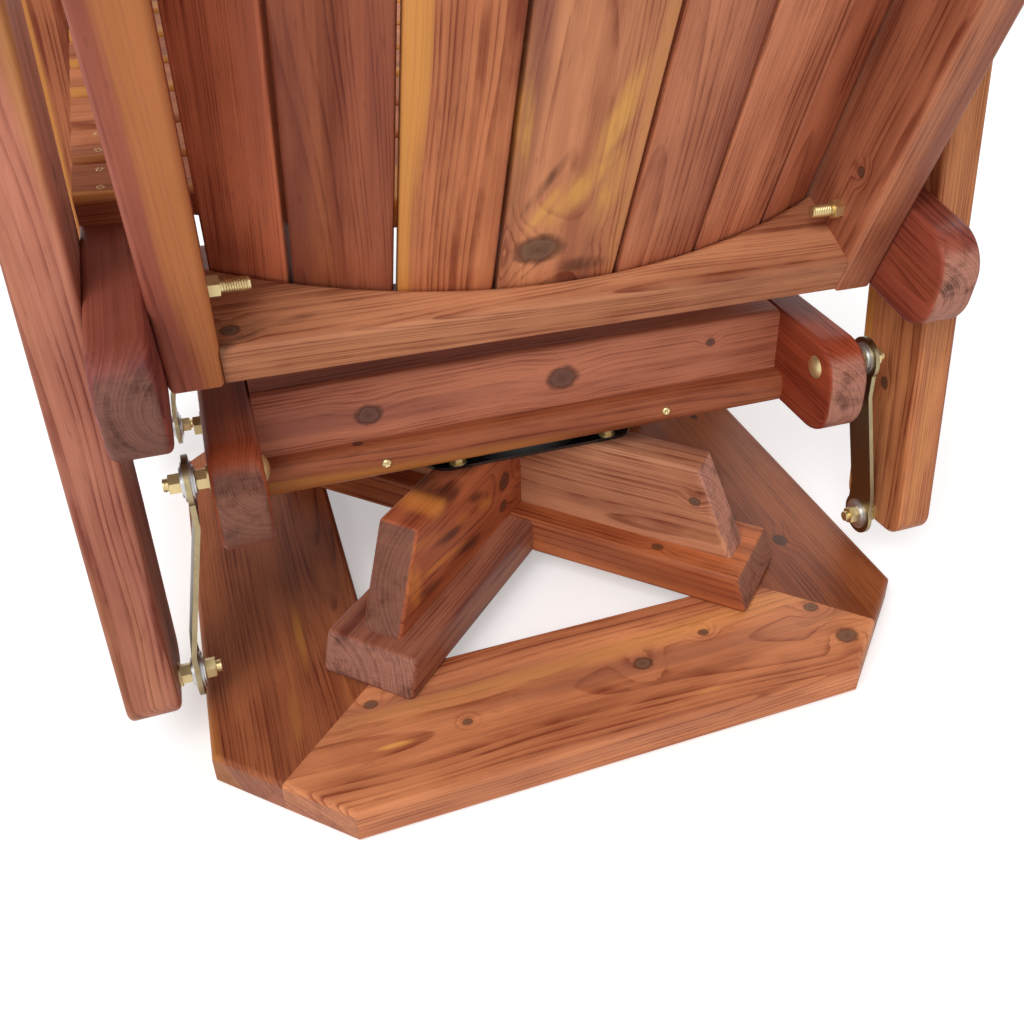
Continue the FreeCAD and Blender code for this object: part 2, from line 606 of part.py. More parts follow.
def carriage():
    """Two rails on edge, joined by flat boards over the swivel and by cross rails on edge."""
    rail = new_body("carriage_rail_left")
    pad(rail, "YZ_Plane", rectangle("-rail_front", "0", "rail_rear", "plank_wide"), "plank_thick")
    round_edges(rail, "end_round", lambda edge: runs_along(edge, X_AXIS))
    round_edges(rail, "edge_round", lambda edge: lies_across(edge, X_AXIS))
    pivots = [("pivot_rear", "pivot_top - carriage_level"), ("pivot_front", "pivot_top - carriage_level")]
    drill(rail, "YZ_Plane", pivots, "bolt_radius + hole_play")
    lags = [("cross_rail_middle", "lag_height"), ("-cross_rail_middle", "lag_height")]
    drill(rail, "YZ_Plane", lags, "lag_radius + hole_play")
    place(rail, spot("rail_inner", z="carriage_level"))
    mirrored("carriage_rail_right", rail)

    for label, angle in (("rear", 0), ("front", 180)):
        flat = new_body(f"carriage_flat_{label}")
        section = rectangle("flat_gap / 2", "0", "flat_outer", "flat_thick")
        pad(flat, "YZ_Plane", section, "2 * rail_inner", True)
        outer = size("flat_outer") - SAME
        round_edges(flat, "flat_edge_round", lambda edge: runs_along(edge, X_AXIS) and middle(edge).y > outer)
        bolts = [("plate_bolt_out", "plate_bolt_out"), ("-plate_bolt_out", "plate_bolt_out")]
        drill(flat, "XY_Plane", bolts, "plate_bolt_radius + hole_play", "plate_bolt_reach + hole_play", True)
        screws = [(f"flat_screw_shift {sign} flat_screw_aside", "flat_thick / 2") for sign in "+-"]
        drill(flat, "XZ_Plane", screws, "screw_radius + hole_play")
        place(flat, spot(z="carriage_level", turn=turned(Z_AXIS, angle)))

        cross = new_body(f"carriage_cross_rail_{label}")
        pad(cross, "YZ_Plane", rectangle("cross_rail_outer - plank_thick", "flat_thick", "cross_rail_outer",
                                         "plank_wide"), "2 * rail_inner", True)
        top = size("plank_wide") - SAME
        round_edges(cross, "edge_round", lambda edge: runs_along(edge, X_AXIS) and middle(edge).z > top)
        for offset, reverse in (("rail_inner", False), ("-rail_inner", True)):
            drill(cross, "YZ_Plane", [("cross_rail_middle", "lag_height")], "lag_radius + hole_play",
                  "lag_reach + hole_play", reverse, offset)
        place(cross, spot(z="carriage_level", turn=turned(Z_AXIS, angle)))

    lag = hex_bolt("lag", "hex_flats", "lag_head", "lag_radius", "plank_thick + lag_reach", "lag_washer")
    group("carriage_lag_bolts", [
        (lag, spot(f"{side} * rail_outer", f"{end} * cross_rail_middle", "carriage_level + lag_height",
                   turned(Y_AXIS, -90 * side)))
        for side in (1, -1) for end in (1, -1)])


def wood_screws():
    """Screws up into the lower cross, and in the outer edges of the flat boards."""
    screw = new_body("screw", exported=False)
    spin(screw, [("0", "-screw_head_thick"), ("screw_head", "-screw_head_thick"), ("screw_head", "0"),
                 ("screw_radius", "0"), ("screw_radius", "screw_length"), ("0", "screw_length")])
    group("carriage_screws", [
        (screw, spot(f"{end} * (flat_screw_shift {sign} flat_screw_aside)", f"{end} * flat_outer",
                     "carriage_level + flat_thick / 2", turned(X_AXIS, 90 * end)))
        for sign in "+-" for end in (1, -1)])
    near = "(screw_along - screw_aside) / sqrt(2)"
    far = "(screw_along + screw_aside) / sqrt(2)"
    group("base_screws", [
        (screw, spot(f"{side} * {x}", f"{end} * {y}", "screw_sink + screw_head_thick"))
        for side in (1, -1) for end in (1, -1) for x, y in ((near, far), (far, near))])


def link_strap(label):
    """Steel strap with a rounded eye at each end and a sideways step between them."""
    strap = new_body(label)
    half = "strap_thick / 2"
    pad(strap, "XZ_Plane", [
        (f"-{half}", "eye_radius"), (f"-{half}", "-upper_tab"),
        (f"joggle - {half}", "lower_tab - link_length"), (f"joggle - {half}", "-link_length - eye_radius"),
        (f"joggle + {half}", "-link_length - eye_radius"), (f"joggle + {half}", "lower_tab - link_length"),
        (half, "-upper_tab"), (half, "eye_radius")], "2 * eye_radius", True)
    bends = (-size("upper_tab"), size("lower_tab - link_length"))
    round_edges(strap, "bend_radius", lambda edge: runs_along(edge, Y_AXIS)
                and min(abs(middle(edge).z - bend) for bend in bends) < SAME)
    shoulder = "sqrt(eye_radius ^ 2 - (strap_waist / 2) ^ 2)"
    waist = "strap_waist / 2"
    sketch = new_sketch(strap, "YZ_Plane")
    clear = "2 * eye_radius"
    outline(sketch, rectangle(f"-{clear}", f"-link_length - {clear}", clear, clear))
    outline(sketch, [
        (waist, f"-{shoulder}", "eye_radius"), ("0", "eye_radius", "eye_radius"),
        (f"-{waist}", f"-{shoulder}"),
        (f"-{waist}", f"{shoulder} - link_length", "eye_radius"),
        ("0", "-link_length - eye_radius", "eye_radius"), (waist, f"{shoulder} - link_length")])
    cut(strap, sketch)
    drill(strap, "YZ_Plane", [("0", "0"), ("0", "-link_length")], "bearing_hub + pivot_fit")
    return strap


def links():
    """Four hanging links; each eye holds a flanged bearing that turns on a bolt."""
    bearing = new_body("bearing", exported=False)
    bore = "bolt_radius + pivot_fit"
    face = "strap_thick / 2"
    rim = f"({face} + bearing_flange)"
    spin(bearing, [
        (bore, "-bearing_long / 2"), ("bearing_step", "-bearing_long / 2"), ("bearing_step", f"-{rim}"),
        ("bearing_radius", f"-{rim}"), ("bearing_radius", f"-{face}"), ("bearing_hub", f"-{face}"),
        ("bearing_hub", face), ("bearing_radius", face), ("bearing_radius", rim), ("bearing_step", rim),
        ("bearing_step", "bearing_long / 2"), (bore, "bearing_long / 2")])
    eyes = [(f"{side} * {reach}", height) for side in (1, -1)
            for reach, height in (("strap_upper", "pivot_top"), ("strap_lower", "pivot_low"))]
    for label, pivot in (("rear", "pivot_rear"), ("front", "pivot_front")):
        strap = link_strap(f"{label}_link_left")
        place(strap, spot("strap_upper", pivot, "pivot_top"))
        mirrored(f"{label}_link_right", strap)
        group(f"{label}_link_bearings", [(bearing, spot(x, pivot, z, turned(Y_AXIS, 90))) for x, z in eyes])


def carriage_bolt(label, length):
    """Domed bolt along +Z with its seat at the origin."""
    bolt = new_body(label, exported=False)
    dome = "(bolt_head ^ 2 + bolt_head_thick ^ 2) / (2 * bolt_head_thick)"
    spin(bolt, [("0", "-bolt_head_thick", dome), ("bolt_head", "0"), ("bolt_radius", "0"),
                ("bolt_radius", length), ("0", length)])
    return bolt


def hex_nut(label, flange=False):
    """Hex nut along +Z, with a round flange at its foot where it has one."""
    nut = new_body(label, exported=False)
    bore = "bolt_radius + pivot_fit"
    length = "spacer_long" if flange else "nut_thick"
    pad(nut, "XY_Plane", hexagon("hex_flats"), length)
    turn_corners(nut, "hex_flats", length, "-")
    if flange:
        sketch = new_sketch(nut, "XY_Plane")
        sketch.addGeometry(Part.Circle(Vector(), Z_AXIS, size("spacer_flange_radius")), False)
        pin_point(sketch, 0, 3, "0", "0")
        hold_radius(sketch, 0, "spacer_flange_radius")
        feature = nut.newObject("PartDesign::Pad", "Flange")
        feature.Profile = sketch
        bind(feature, "Length", "spacer_flange")
        doc.recompute()
    drill(nut, "XY_Plane", [("0", "0")], bore)
    return nut


def pivot_hardware(nut, spacer):
    """Bolts, spacer nuts and nuts at the eight eyes of the links."""
    bolt = carriage_bolt("pivot_bolt", "pivot_bolt_long")
    stacks = (("top", "rail_inner", "rail_outer", 1, "pivot_top"),
              ("bottom", "leg_outer", "leg_inner", -1, "pivot_low"))
    for label, head, face, out, height in stacks:
        bolts, spacers, nuts = [], [], []
        for side in (1, -1):
            turn = turned(Y_AXIS, 90 * side * out)
            for pivot in ("pivot_rear", "pivot_front"):
                bolts.append((bolt, spot(f"{side} * {head}", pivot, height, turn)))
                spacers.append((spacer, spot(f"{side} * {face}", pivot, height, turn)))
                nuts.append((nut, spot(f"{side} * ({face} + {out} * pivot_nut)", pivot, height, turn)))
        group(f"link_{label}_bolts", bolts)
        group(f"link_{label}_spacers", spacers)
        group(f"link_{label}_nuts", nuts)


def front_joint_spots():
    """Bolt spots along the front legs, as offsets in Y and Z from the middle of the joint."""
    return [(f"-({step}) * sin(leg_rake)", f"({step}) * cos(leg_rake)")
            for step in ("frame_bolt_step", "-frame_bolt_step")]


def seat_frame():
    """Sloping stringers, raked legs outside them and a front stretcher between them."""
    hole = "bolt_radius + hole_play"
    stringer = new_body("stringer_left")
    pad(stringer, "YZ_Plane", rectangle("-stringer_length", "-plank_wide", "0", "0"), "plank_thick")
    round_edges(stringer, "end_round", lambda edge: runs_along(edge, X_AXIS) and abs(middle(edge).y) < SAME)
    round_edges(stringer, "corner_round", lambda edge: runs_along(edge, X_AXIS)
                and middle(edge).y < SAME - size("stringer_length"))
    round_edges(stringer, "edge_round", lambda edge: lies_across(edge, X_AXIS))
    spots = [tilted("post_bolt_y - stringer_tail", "post_bolt_z - stringer_tail_top", "seat_slope")]
    spots += [tilted(f"front_joint_y + {y} - stringer_tail", f"front_joint_z + {z} - stringer_tail_top",
                     "seat_slope") for y, z in front_joint_spots()]
    drill(stringer, "YZ_Plane", spots, hole)
    slope = turned(X_AXIS, "-seat_slope")
    place(stringer, spot("stringer_inner", "stringer_tail", "stringer_tail_top", slope))
    mirrored("stringer_right", stringer)

    half = "plank_wide / 2"
    sides = [(f"-{half}", "-leg_foot"), (half, "-leg_foot"),
             (half, f"(leg_rise - {half} * sin(leg_rake)) / cos(leg_rake)"),
             (f"-{half}", f"(leg_rise + {half} * sin(leg_rake)) / cos(leg_rake)")]
    joints = {"rear": [("post_bolt_y - pivot_rear", "post_bolt_z - pivot_low")],
              "front": [(f"front_joint_y + {y} - pivot_front", f"front_joint_z + {z} - pivot_low")
                        for y, z in front_joint_spots()]}
    for label, pivot in (("rear", "pivot_rear"), ("front", "pivot_front")):
        leg = new_body(f"leg_{label}_left")
        pad(leg, "YZ_Plane", sides, "plank_thick")
        round_edges(leg, "foot_round", lambda edge: runs_along(edge, X_AXIS) and middle(edge).z < 0)
        shoulder = size("leg_rise - plank_wide")
        round_edges(leg, "edge_round", lambda edge: lies_across(edge, X_AXIS) and middle(edge).z < shoulder)
        holes = [("0", "0")] + [tilted(y, z, "-leg_rake") for y, z in joints[label]]
        drill(leg, "YZ_Plane", holes, hole)
        place(leg, spot("leg_inner", pivot, "pivot_low", turned(X_AXIS, "leg_rake")))
        mirrored(f"leg_{label}_right", leg)

    stretcher = new_body("front_stretcher")
    pad(stretcher, "YZ_Plane", rectangle("stretcher_front - stringer_length", "-plank_wide",
                                         "stretcher_front + plank_thick - stringer_length", "0"),
        "2 * stringer_inner", True)
    round_edges(stretcher, "edge_round", lambda edge: runs_along(edge, X_AXIS) and middle(edge).z < -SAME)
    place(stretcher, spot("0", "stringer_tail", "stringer_tail_top", slope))


def seat_slats():
    """Slats across the stringers; the rear one reaches back between the posts, to the curve of the back."""
    half = "(leg_inner - slat_end_play)"
    slat = new_body("seat_slat", exported=False)
    pad(slat, "YZ_Plane", rectangle("-seat_slat_wide", "0", "0", "seat_slat_thick"), f"2 * {half}", True)
    round_edges(slat, "edge_round", lambda edge: runs_along(edge, X_AXIS) and middle(edge).z > SAME)
    rear_slat = new_body("rear_seat_slat", exported=False)
    pad(rear_slat, "XY_Plane", [(f"-{half}", "-seat_slat_wide"), (half, "-seat_slat_wide"), (half, "0"),
                                ("post_inner", "0", "rear_slat_curve"), ("-post_inner", "0"),
                                (f"-{half}", "0")], "seat_slat_thick")
    round_edges(rear_slat, "edge_round", lambda edge: lies_across(edge, Z_AXIS)
                and not runs_along(edge, Y_AXIS) and middle(edge).z > SAME)
    slope = turned(X_AXIS, "-seat_slope")
    room = "stringer_length - seat_slat_first - seat_slat_stop + seat_slat_gap"
    count = int(size(f"({room}) / (seat_slat_wide + seat_slat_gap)"))
    copies = []
    for number in range(count):
        along = f"(seat_slat_first + {number} * (seat_slat_wide + seat_slat_gap))"
        master = slat if number else rear_slat
        copies.append((master, spot("0", f"stringer_tail - {along} * cos(seat_slope)",
                                    f"stringer_tail_top + {along} * sin(seat_slope)", slope)))
    group("seat_slats", copies)


def back_frame():
    """Leaning posts inside the stringers, with two curved rails between them."""
    lean = turned(X_AXIS, "-recline")
    post = new_body("back_post_left")
    pad(post, "YZ_Plane", rectangle("-plank_wide", "0", "0", "post_length"), "plank_thick")
    top = size("post_length") - SAME
    round_edges(post, "end_round", lambda edge: runs_along(edge, X_AXIS) and middle(edge).z > top)
    round_edges(post, "edge_round", lambda edge: lies_across(edge, X_AXIS))
    drill(post, "YZ_Plane", [tilted("post_bolt_y - post_foot_y", "post_bolt_z - post_foot_z", "recline")],
          "bolt_radius + hole_play")
    place(post, spot("post_inner", "post_foot_y", "post_foot_z", lean))
    mirrored("back_post_right", post)

    for label, height in (("lower", "0"), ("upper", "upper_rail")):
        rail = new_body(f"{label}_back_rail")
        pad(rail, "XY_Plane", [
            ("post_inner", "0"), ("-post_inner", "0"), ("-post_inner", "-back_rail_end", "-back_curve"),
            ("post_inner", "-back_rail_end")], "plank_thick")
        butt = size("post_inner") - SAME
        round_edges(rail, "edge_round", lambda edge: lies_across(edge, Z_AXIS) and abs(middle(edge).x) < butt)
        place(rail, spot("0", f"post_foot_y + {height} * sin(recline)",
                         f"post_foot_z + {height} * cos(recline)", lean))


def arch(across):
    """Height of the arched top of the back at a distance from its middle."""
    return f"back_height - back_arch + sqrt(back_arch ^ 2 - ({across}) ^ 2)"


def back_slats():
    """Flat slats set side by side into the hollow of the curved rails, under one arched top."""
    foot = spot("0", "post_foot_y", "post_foot_z", turned(X_AXIS, "-recline"))
    side = ["outer_slat", "inner_slat", "inner_slat"]
    widths = side + ["middle_slat"] + side[::-1]
    reach = "-slats_edge_turn"
    for number, width in enumerate(widths, start=1):
        turn = f"({reach} + {width}_turn)"
        start = f"back_curve * sin({turn} - {width}_turn)"
        finish = f"back_curve * sin({turn} + {width}_turn)"
        half = f"{width} / 2"
        slat = new_body(f"back_slat_{number}")
        pad(slat, "XZ_Plane", [(f"-{half}", "0"), (half, "0"), (half, arch(finish), "back_arch"),
                               (f"-{half}", arch(start))], "back_slat_thick")
        round_edges(slat, "edge_round", lambda edge: runs_along(edge, Y_AXIS) and middle(edge).z > SAME)
        round_edges(slat, "slat_round", lambda edge: lies_across(edge, Y_AXIS))
        chord = f"sqrt((back_curve - slat_seat) ^ 2 - ({half}) ^ 2)"
        seat = spot(f"{chord} * sin({turn})", f"{chord} * cos({turn}) - back_waist - back_curve", "0",
                    turned(Z_AXIS, f"-{turn}"))
        place(slat, f"{foot} * {seat}")
        reach = f"{reach} + 2 * {width}_turn + slat_gap_turn"


def armrests():
    arm = new_body("armrest_left")
    post_face = "stringer_inner + arm_post_play"
    pad(arm, "XY_Plane", [
        ("arm_inner", "arm_nose - arm_front", "arm_nose"), ("arm_inner + arm_nose", "-arm_front"),
        ("arm_outer - arm_nose", "-arm_front", "arm_nose"), ("arm_outer", "arm_nose - arm_front"),
        ("arm_outer", "-arm_taper"), (f"{post_face} + arm_tail", "arm_rear"), (post_face, "arm_rear"),
        (post_face, "arm_notch"), ("arm_inner", "arm_notch - arm_notch_slope")], "arm_thick")
    rear = size("arm_rear") - SAME
    outer = size("arm_inner")
    round_edges(arm, "corner_round", lambda edge: runs_along(edge, Z_AXIS) and middle(edge).y > rear
                and middle(edge).x > outer)
    round_edges(arm, "edge_round", lambda edge: lies_across(edge, Z_AXIS))
    place(arm, spot(z="arm_under"))
    mirrored("armrest_right", arm)


def frame_hardware(nut):
    """Long bolts through leg, stringer and post, and shorter ones through the front legs and stringers."""
    long_bolt = carriage_bolt("post_bolt", "3 * plank_thick + nut_thick + post_thread")
    short_bolt = carriage_bolt("front_bolt", "2 * plank_thick + nut_thick + frame_thread")
    joints = [(long_bolt, "post_bolt_y", "post_bolt_z", "post_inner")]
    joints += [(short_bolt, f"front_joint_y + {y}", f"front_joint_z + {z}", "stringer_inner")
               for y, z in front_joint_spots()]
    bolts, nuts = [], []
    for side in (1, -1):
        turn = turned(Y_AXIS, -90 * side)
        for bolt, y, z, nut_face in joints:
            bolts.append((bolt, spot(f"{side} * leg_outer", y, z, turn)))
            nuts.append((nut, spot(f"{side} * {nut_face}", y, z, turn)))
    group("frame_bolts", bolts)
    group("frame_nuts", nuts)


def check_and_write():
    doc.recompute()
    for thing in doc.Objects:
        if "Invalid" in thing.State or "Error" in thing.State:
            raise RuntimeError(f"{thing.Label} failed: {thing.State}")
    for label, piece in nodes.items():
        if piece.Shape.isNull() or not piece.Shape.isValid():
            raise RuntimeError(f"{label} has no valid shape")
    os.makedirs("parts", exist_ok=True)
    for label, piece in nodes.items():
        piece.Shape.exportStep(f"parts/{label}.step")


fill_sheet()
base_ring()
crosses()
swivel()
carriage()
wood_screws()
links()
plain_nut = hex_nut("nut")
pivot_hardware(plain_nut, hex_nut("spacer", flange=True))
seat_frame()
seat_slats()
back_frame()
back_slats()
armrests()
frame_hardware(plain_nut)
check_and_write()
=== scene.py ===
import math
from collections import namedtuple

import bmesh
import bpy
from bpy.props import FloatProperty, FloatVectorProperty, PointerProperty
from bpy.types import Operator, Panel, PropertyGroup
from mathutils import Matrix, Vector


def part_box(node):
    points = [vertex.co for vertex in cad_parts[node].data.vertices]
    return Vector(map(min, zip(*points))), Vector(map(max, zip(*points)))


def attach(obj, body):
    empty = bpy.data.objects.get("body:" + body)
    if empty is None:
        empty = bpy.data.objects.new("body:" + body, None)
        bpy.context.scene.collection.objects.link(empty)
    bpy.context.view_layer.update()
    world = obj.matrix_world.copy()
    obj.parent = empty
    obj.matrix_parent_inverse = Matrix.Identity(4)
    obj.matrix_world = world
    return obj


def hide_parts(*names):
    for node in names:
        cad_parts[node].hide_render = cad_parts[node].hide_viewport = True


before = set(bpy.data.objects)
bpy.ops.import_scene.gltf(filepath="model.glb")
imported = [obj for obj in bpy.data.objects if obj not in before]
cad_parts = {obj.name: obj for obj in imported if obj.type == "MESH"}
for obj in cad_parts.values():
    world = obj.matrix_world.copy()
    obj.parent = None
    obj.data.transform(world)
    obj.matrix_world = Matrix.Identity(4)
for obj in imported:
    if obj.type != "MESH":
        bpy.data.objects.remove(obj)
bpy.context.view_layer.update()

bl_info = {
    "name": "Adirondack swivel glider",
    "version": (1, 0, 0),
    "blender": (4, 5, 0),
    "location": "3D View > Sidebar > Glider",
    "description": "Cedar, plated hardware and a studio for a chair that swivels and glides",
    "category": "Object",
}

# Directions in the chair: +X is the sitter's left, +Y the back, +Z up
ACROSS = Vector((1, 0, 0))
BACK = Vector((0, 1, 0))
UP = Vector((0, 0, 1))
DIAGONAL_A = Vector((1, 1, 0)).normalized()
DIAGONAL_B = Vector((1, -1, 0)).normalized()
SEAT_SLOPE = math.radians(10.6)
LEG_RAKE = math.radians(5.4)
RECLINE = math.radians(25)
SEAT_BACK = Vector((0, math.cos(SEAT_SLOPE), -math.sin(SEAT_SLOPE)))
SEAT_UP = Vector((0, math.sin(SEAT_SLOPE), math.cos(SEAT_SLOPE)))
LEG_UP = Vector((0, -math.sin(LEG_RAKE), math.cos(LEG_RAKE)))
LEG_BACK = Vector((0, math.cos(LEG_RAKE), math.sin(LEG_RAKE)))
POST_UP = Vector((0, math.sin(RECLINE), math.cos(RECLINE)))
POST_BACK = Vector((0, math.cos(RECLINE), -math.sin(RECLINE)))

# A board: its node, the way its grain runs and the way of its width, where the heart of the log lies from the
# board's middle (across, through), the radius where the sapwood starts, its tint, its knots (along, across,
# half length, half width), its yellow blazes (the same and their lean) and its dark smudges (like the
# blazes), all in metres from the middle.
Board = namedtuple("Board", "node grain width heart sap tint knots blazes smudges", defaults=([],))

BASE_RING = [
    Board("base_board_rear", ACROSS, BACK, (0.012, -0.085), 0.2, (1.36, 1.46, 1.39),
          [(-0.042, -0.001, 0.0077, 0.0062), (-0.109, -0.018, 0.0045, 0.0036),
           (-0.230, 0.031, 0.0094, 0.0075), (-0.219, -0.014, 0.0063, 0.0050),
           (0.188, -0.036, 0.005, 0.0040), (0.118, 0.010, 0.0037, 0.0030)],
          [(0.178, 0.0135, 0.016, 0.003, 0.0), (-0.083, 0.048, 0.013, 0.0025, 0.0)]),
    Board("base_board_front", ACROSS, BACK, (-0.02, -0.09), 0.14, (1.05, 1.05, 1.1),
          [(0.09, 0.02, 0.0075, 0.006), (-0.17, -0.01, 0.005, 0.004)], []),
    Board("base_board_left", BACK, ACROSS, (-0.05, -0.05), 0.125, (0.69, 0.59, 0.52),
          [(-0.08, 0.02, 0.0063, 0.005)],
          [(0.10, -0.012, 0.05, 0.005, 0.0), (0.20, 0.004, 0.03, 0.005, 0.0)]),
    Board("base_board_right", BACK, ACROSS, (0.03, -0.07), 0.13, (0.57, 0.44, 0.3),
          [(0.131, 0.002, 0.0075, 0.006), (0.02, 0.015, 0.0037, 0.003), (-0.12, -0.02, 0.005, 0.004)], []),
]
CROSSES = [
    Board("lower_cross_a", DIAGONAL_A, DIAGONAL_B, (0.05, 0.03), 0.12, (0.73, 0.76, 0.97), [], []),
    Board("lower_cross_b", DIAGONAL_B, DIAGONAL_A, (-0.05, 0.04), 0.12, (1.1, 0.96, 0.75),
          [(-0.17, 0.03, 0.005, 0.004)], []),
    Board("upper_cross_a", DIAGONAL_A, UP, (0.005, -0.06), 0.12, (1.04, 0.83, 0.74),
          [(0.052, 0.0, 0.008, 0.008), (0.056, -0.026, 0.006, 0.005)],
          [(0.164, 0.0455, 0.016, 0.012, 0.0), (0.091, 0.0, 0.014, 0.008, 0.3),
           (0.129, 0.0085, 0.013, 0.006, 0.3), (0.190, 0.0229, 0.022, 0.007, 0.2),
           (0.210, -0.008, 0.012, 0.022, 0.0), (0.1625, -0.0138, 0.04, 0.005, 0.2)],
          [(0.142, 0.044, 0.017, 0.010, 0.0), (0.150, 0.004, 0.03, 0.006, 0.25),
           (0.12, -0.027, 0.03, 0.006, 0.2), (0.188, -0.027, 0.02, 0.006, 0.2),
           (0.105, 0.016, 0.014, 0.006, 0.3)]),
    Board("upper_cross_b", DIAGONAL_B, UP, (-0.03, -0.06), 0.14, (1.03, 1.27, 1.52),
          [(-0.2, 0.01, 0.005, 0.004)], []),
]
CARRIAGE = [
    Board("carriage_rail_left", BACK, UP, (0.03, -0.03), 0.09, (0.61, 0.36, 0.31), [], []),
    Board("carriage_rail_right", BACK, UP, (-0.02, 0.035), 0.09, (0.71, 0.39, 0.36),
          [(0.05, 0.01, 0.0063, 0.005)], []),
    Board("carriage_flat_rear", ACROSS, BACK, (-0.02, 0.03), 0.071, (0.69, 0.58, 0.57),
          [(-0.1, -0.02, 0.0063, 0.005), (0.16, 0.03, 0.0037, 0.003)], []),
    Board("carriage_flat_front", ACROSS, BACK, (0.02, 0.03), 0.08, (0.9, 0.9, 0.9),
          [(0.05, 0.01, 0.005, 0.004)], []),
    Board("carriage_cross_rail_rear", ACROSS, UP, (-0.05, -0.05), 0.12, (1.05, 1.04, 1.29),
          [(0.148, -0.006, 0.0097, 0.0078), (-0.022, -0.002, 0.0123, 0.0098),
           (-0.166, 0.009, 0.0042, 0.0034)], []),
    Board("carriage_cross_rail_front", ACROSS, UP, (0.04, 0.05), 0.12, (0.95, 0.95, 0.95),
          [(0.07, 0.004, 0.0075, 0.006)], []),
]
SEAT_FRAME = [
    Board("stringer_left", SEAT_BACK, SEAT_UP, (0.01, -0.03), 0.075, (0.51, 0.35, 0.59),
          [(-0.1, 0.01, 0.0063, 0.005)], []),
    Board("stringer_right", SEAT_BACK, SEAT_UP, (-0.01, 0.03), 0.085, (0.61, 0.4, 0.51),
          [(0.12, -0.02, 0.0063, 0.005)], []),
    Board("front_stretcher", ACROSS, SEAT_UP, (0.05, -0.04), 0.11, (0.95, 0.95, 0.95),
          [(0.1, 0.01, 0.0063, 0.005), (-0.17, -0.01, 0.005, 0.004)], []),
    Board("leg_rear_left", LEG_UP, LEG_BACK, (-0.05, -0.05), 0.114, (0.94, 1.0, 1.43),
          [(0.12, 0.01, 0.005, 0.004)], []),
    Board("leg_rear_right", LEG_UP, LEG_BACK, (0.05, 0.05), 0.106, (1.27, 1.41, 1.25),
          [(-0.145, 0.0, 0.0056, 0.0045)], []),
    Board("leg_front_left", LEG_UP, LEG_BACK, (-0.04, 0.05), 0.104, (1.0, 1.0, 1.0),
          [(0.05, -0.01, 0.0063, 0.005)], []),
    Board("leg_front_right", LEG_UP, LEG_BACK, (0.04, -0.05), 0.104, (1.0, 1.0, 1.0),
          [(-0.15, 0.01, 0.0063, 0.005)], []),
]
BACK_FRAME = [
    Board("back_post_left", POST_UP, POST_BACK, (-0.03, -0.045), 0.088, (0.81, 0.65, 0.84),
          [(0.1, 0.0, 0.0063, 0.005)], []),
    Board("back_post_right", POST_UP, POST_BACK, (0.04, 0.04), 0.11, (0.9, 0.92, 1.04),
          [(-0.165, 0.014, 0.0044, 0.0035)], []),
    Board("lower_back_rail", ACROSS, POST_BACK, (0.05, 0.05), 0.13, (1.07, 1.27, 1.4),
          [(0.1, -0.01, 0.0037, 0.003), (0.243, 0.022, 0.006, 0.004)], [],
          [(0.236, 0.024, 0.026, 0.010, 0.2), (0.198, 0.020, 0.016, 0.004, 0.1),
           (0.25, 0.036, 0.012, 0.006, 0.4)]),
    Board("upper_back_rail", ACROSS, POST_BACK, (-0.04, 0.05), 0.12, (1.0, 1.05, 1.1),
          [(-0.05, 0.0, 0.005, 0.004)], []),
]
# Back slats by number from the sitter's right: heart of the log, sapwood, tint, knots, blazes, smudges
BACK_SLATS = [
    ((0.03, -0.05), 0.09, (1.04, 0.98, 1.1), [], [], []),
    ((-0.04, -0.05), 0.095, (1.12, 1.12, 1.28), [(0.14, 0.01, 0.005, 0.004)], [], []),
    ((0.02, 0.06), 0.1, (1.05, 1.07, 1.21), [(-0.05, -0.01, 0.0063, 0.005)], [], []),
    ((0.004, -0.055), 0.12, (1.2, 1.35, 1.45),
     [(-0.287, 0.0195, 0.0125, 0.0165), (0.16, -0.02, 0.0088, 0.007)],
     [(-0.228, -0.006, 0.036, 0.015, -0.6), (-0.235, -0.026, 0.04, 0.010, -0.1),
      (-0.246, 0.0205, 0.024, 0.006, -0.45), (-0.17, -0.022, 0.05, 0.010, -0.2),
      (-0.17, 0.049, 0.065, 0.011, 0.05)],
     [(-0.309, -0.018, 0.009, 0.022, 0.0), (-0.225, 0.024, 0.03, 0.005, -0.5)]),
    ((-0.022, 0.04), 0.055, (1.15, 1.15, 1.1), [(0.05, 0.01, 0.005, 0.004)],
     [(-0.13, 0.0385, 0.2, 0.0105, 0.0)], []),
    ((0.05, 0.05), 0.11, (0.73, 0.6, 0.67), [], [], []),
    ((-0.05, 0.05), 0.11, (1.1, 0.86, 0.9), [(0.1, 0.0, 0.0037, 0.003)], [], []),
]
SEAT_SLATS = Board("seat_slats", ACROSS, SEAT_BACK, (0.0, -0.06), 0.088, (1.0, 1.0, 1.0), [], [])
ARMRESTS = [
    Board("armrest_left", BACK, ACROSS, (0.01, -0.09), 0.13, (1.0, 1.0, 1.0),
          [(-0.1, 0.02, 0.0088, 0.007), (0.16, -0.01, 0.0063, 0.005)], []),
    Board("armrest_right", BACK, ACROSS, (-0.015, -0.085), 0.125, (1.03, 1.03, 1.03),
          [(0.04, -0.02, 0.0088, 0.007)],
          [(-0.2, 0.03, 0.02, 0.003, 0.0)]),
]

# Brightness of the sawn ends of some boards against the usual end-grain colour
SAWN_ENDS = {"lower_cross_a": 1.18, "upper_cross_a": 0.62, "upper_cross_b": 1.9, "carriage_rail_left": 0.66,
             "carriage_rail_right": 1.4, "stringer_left": 0.6, "stringer_right": 1.5}

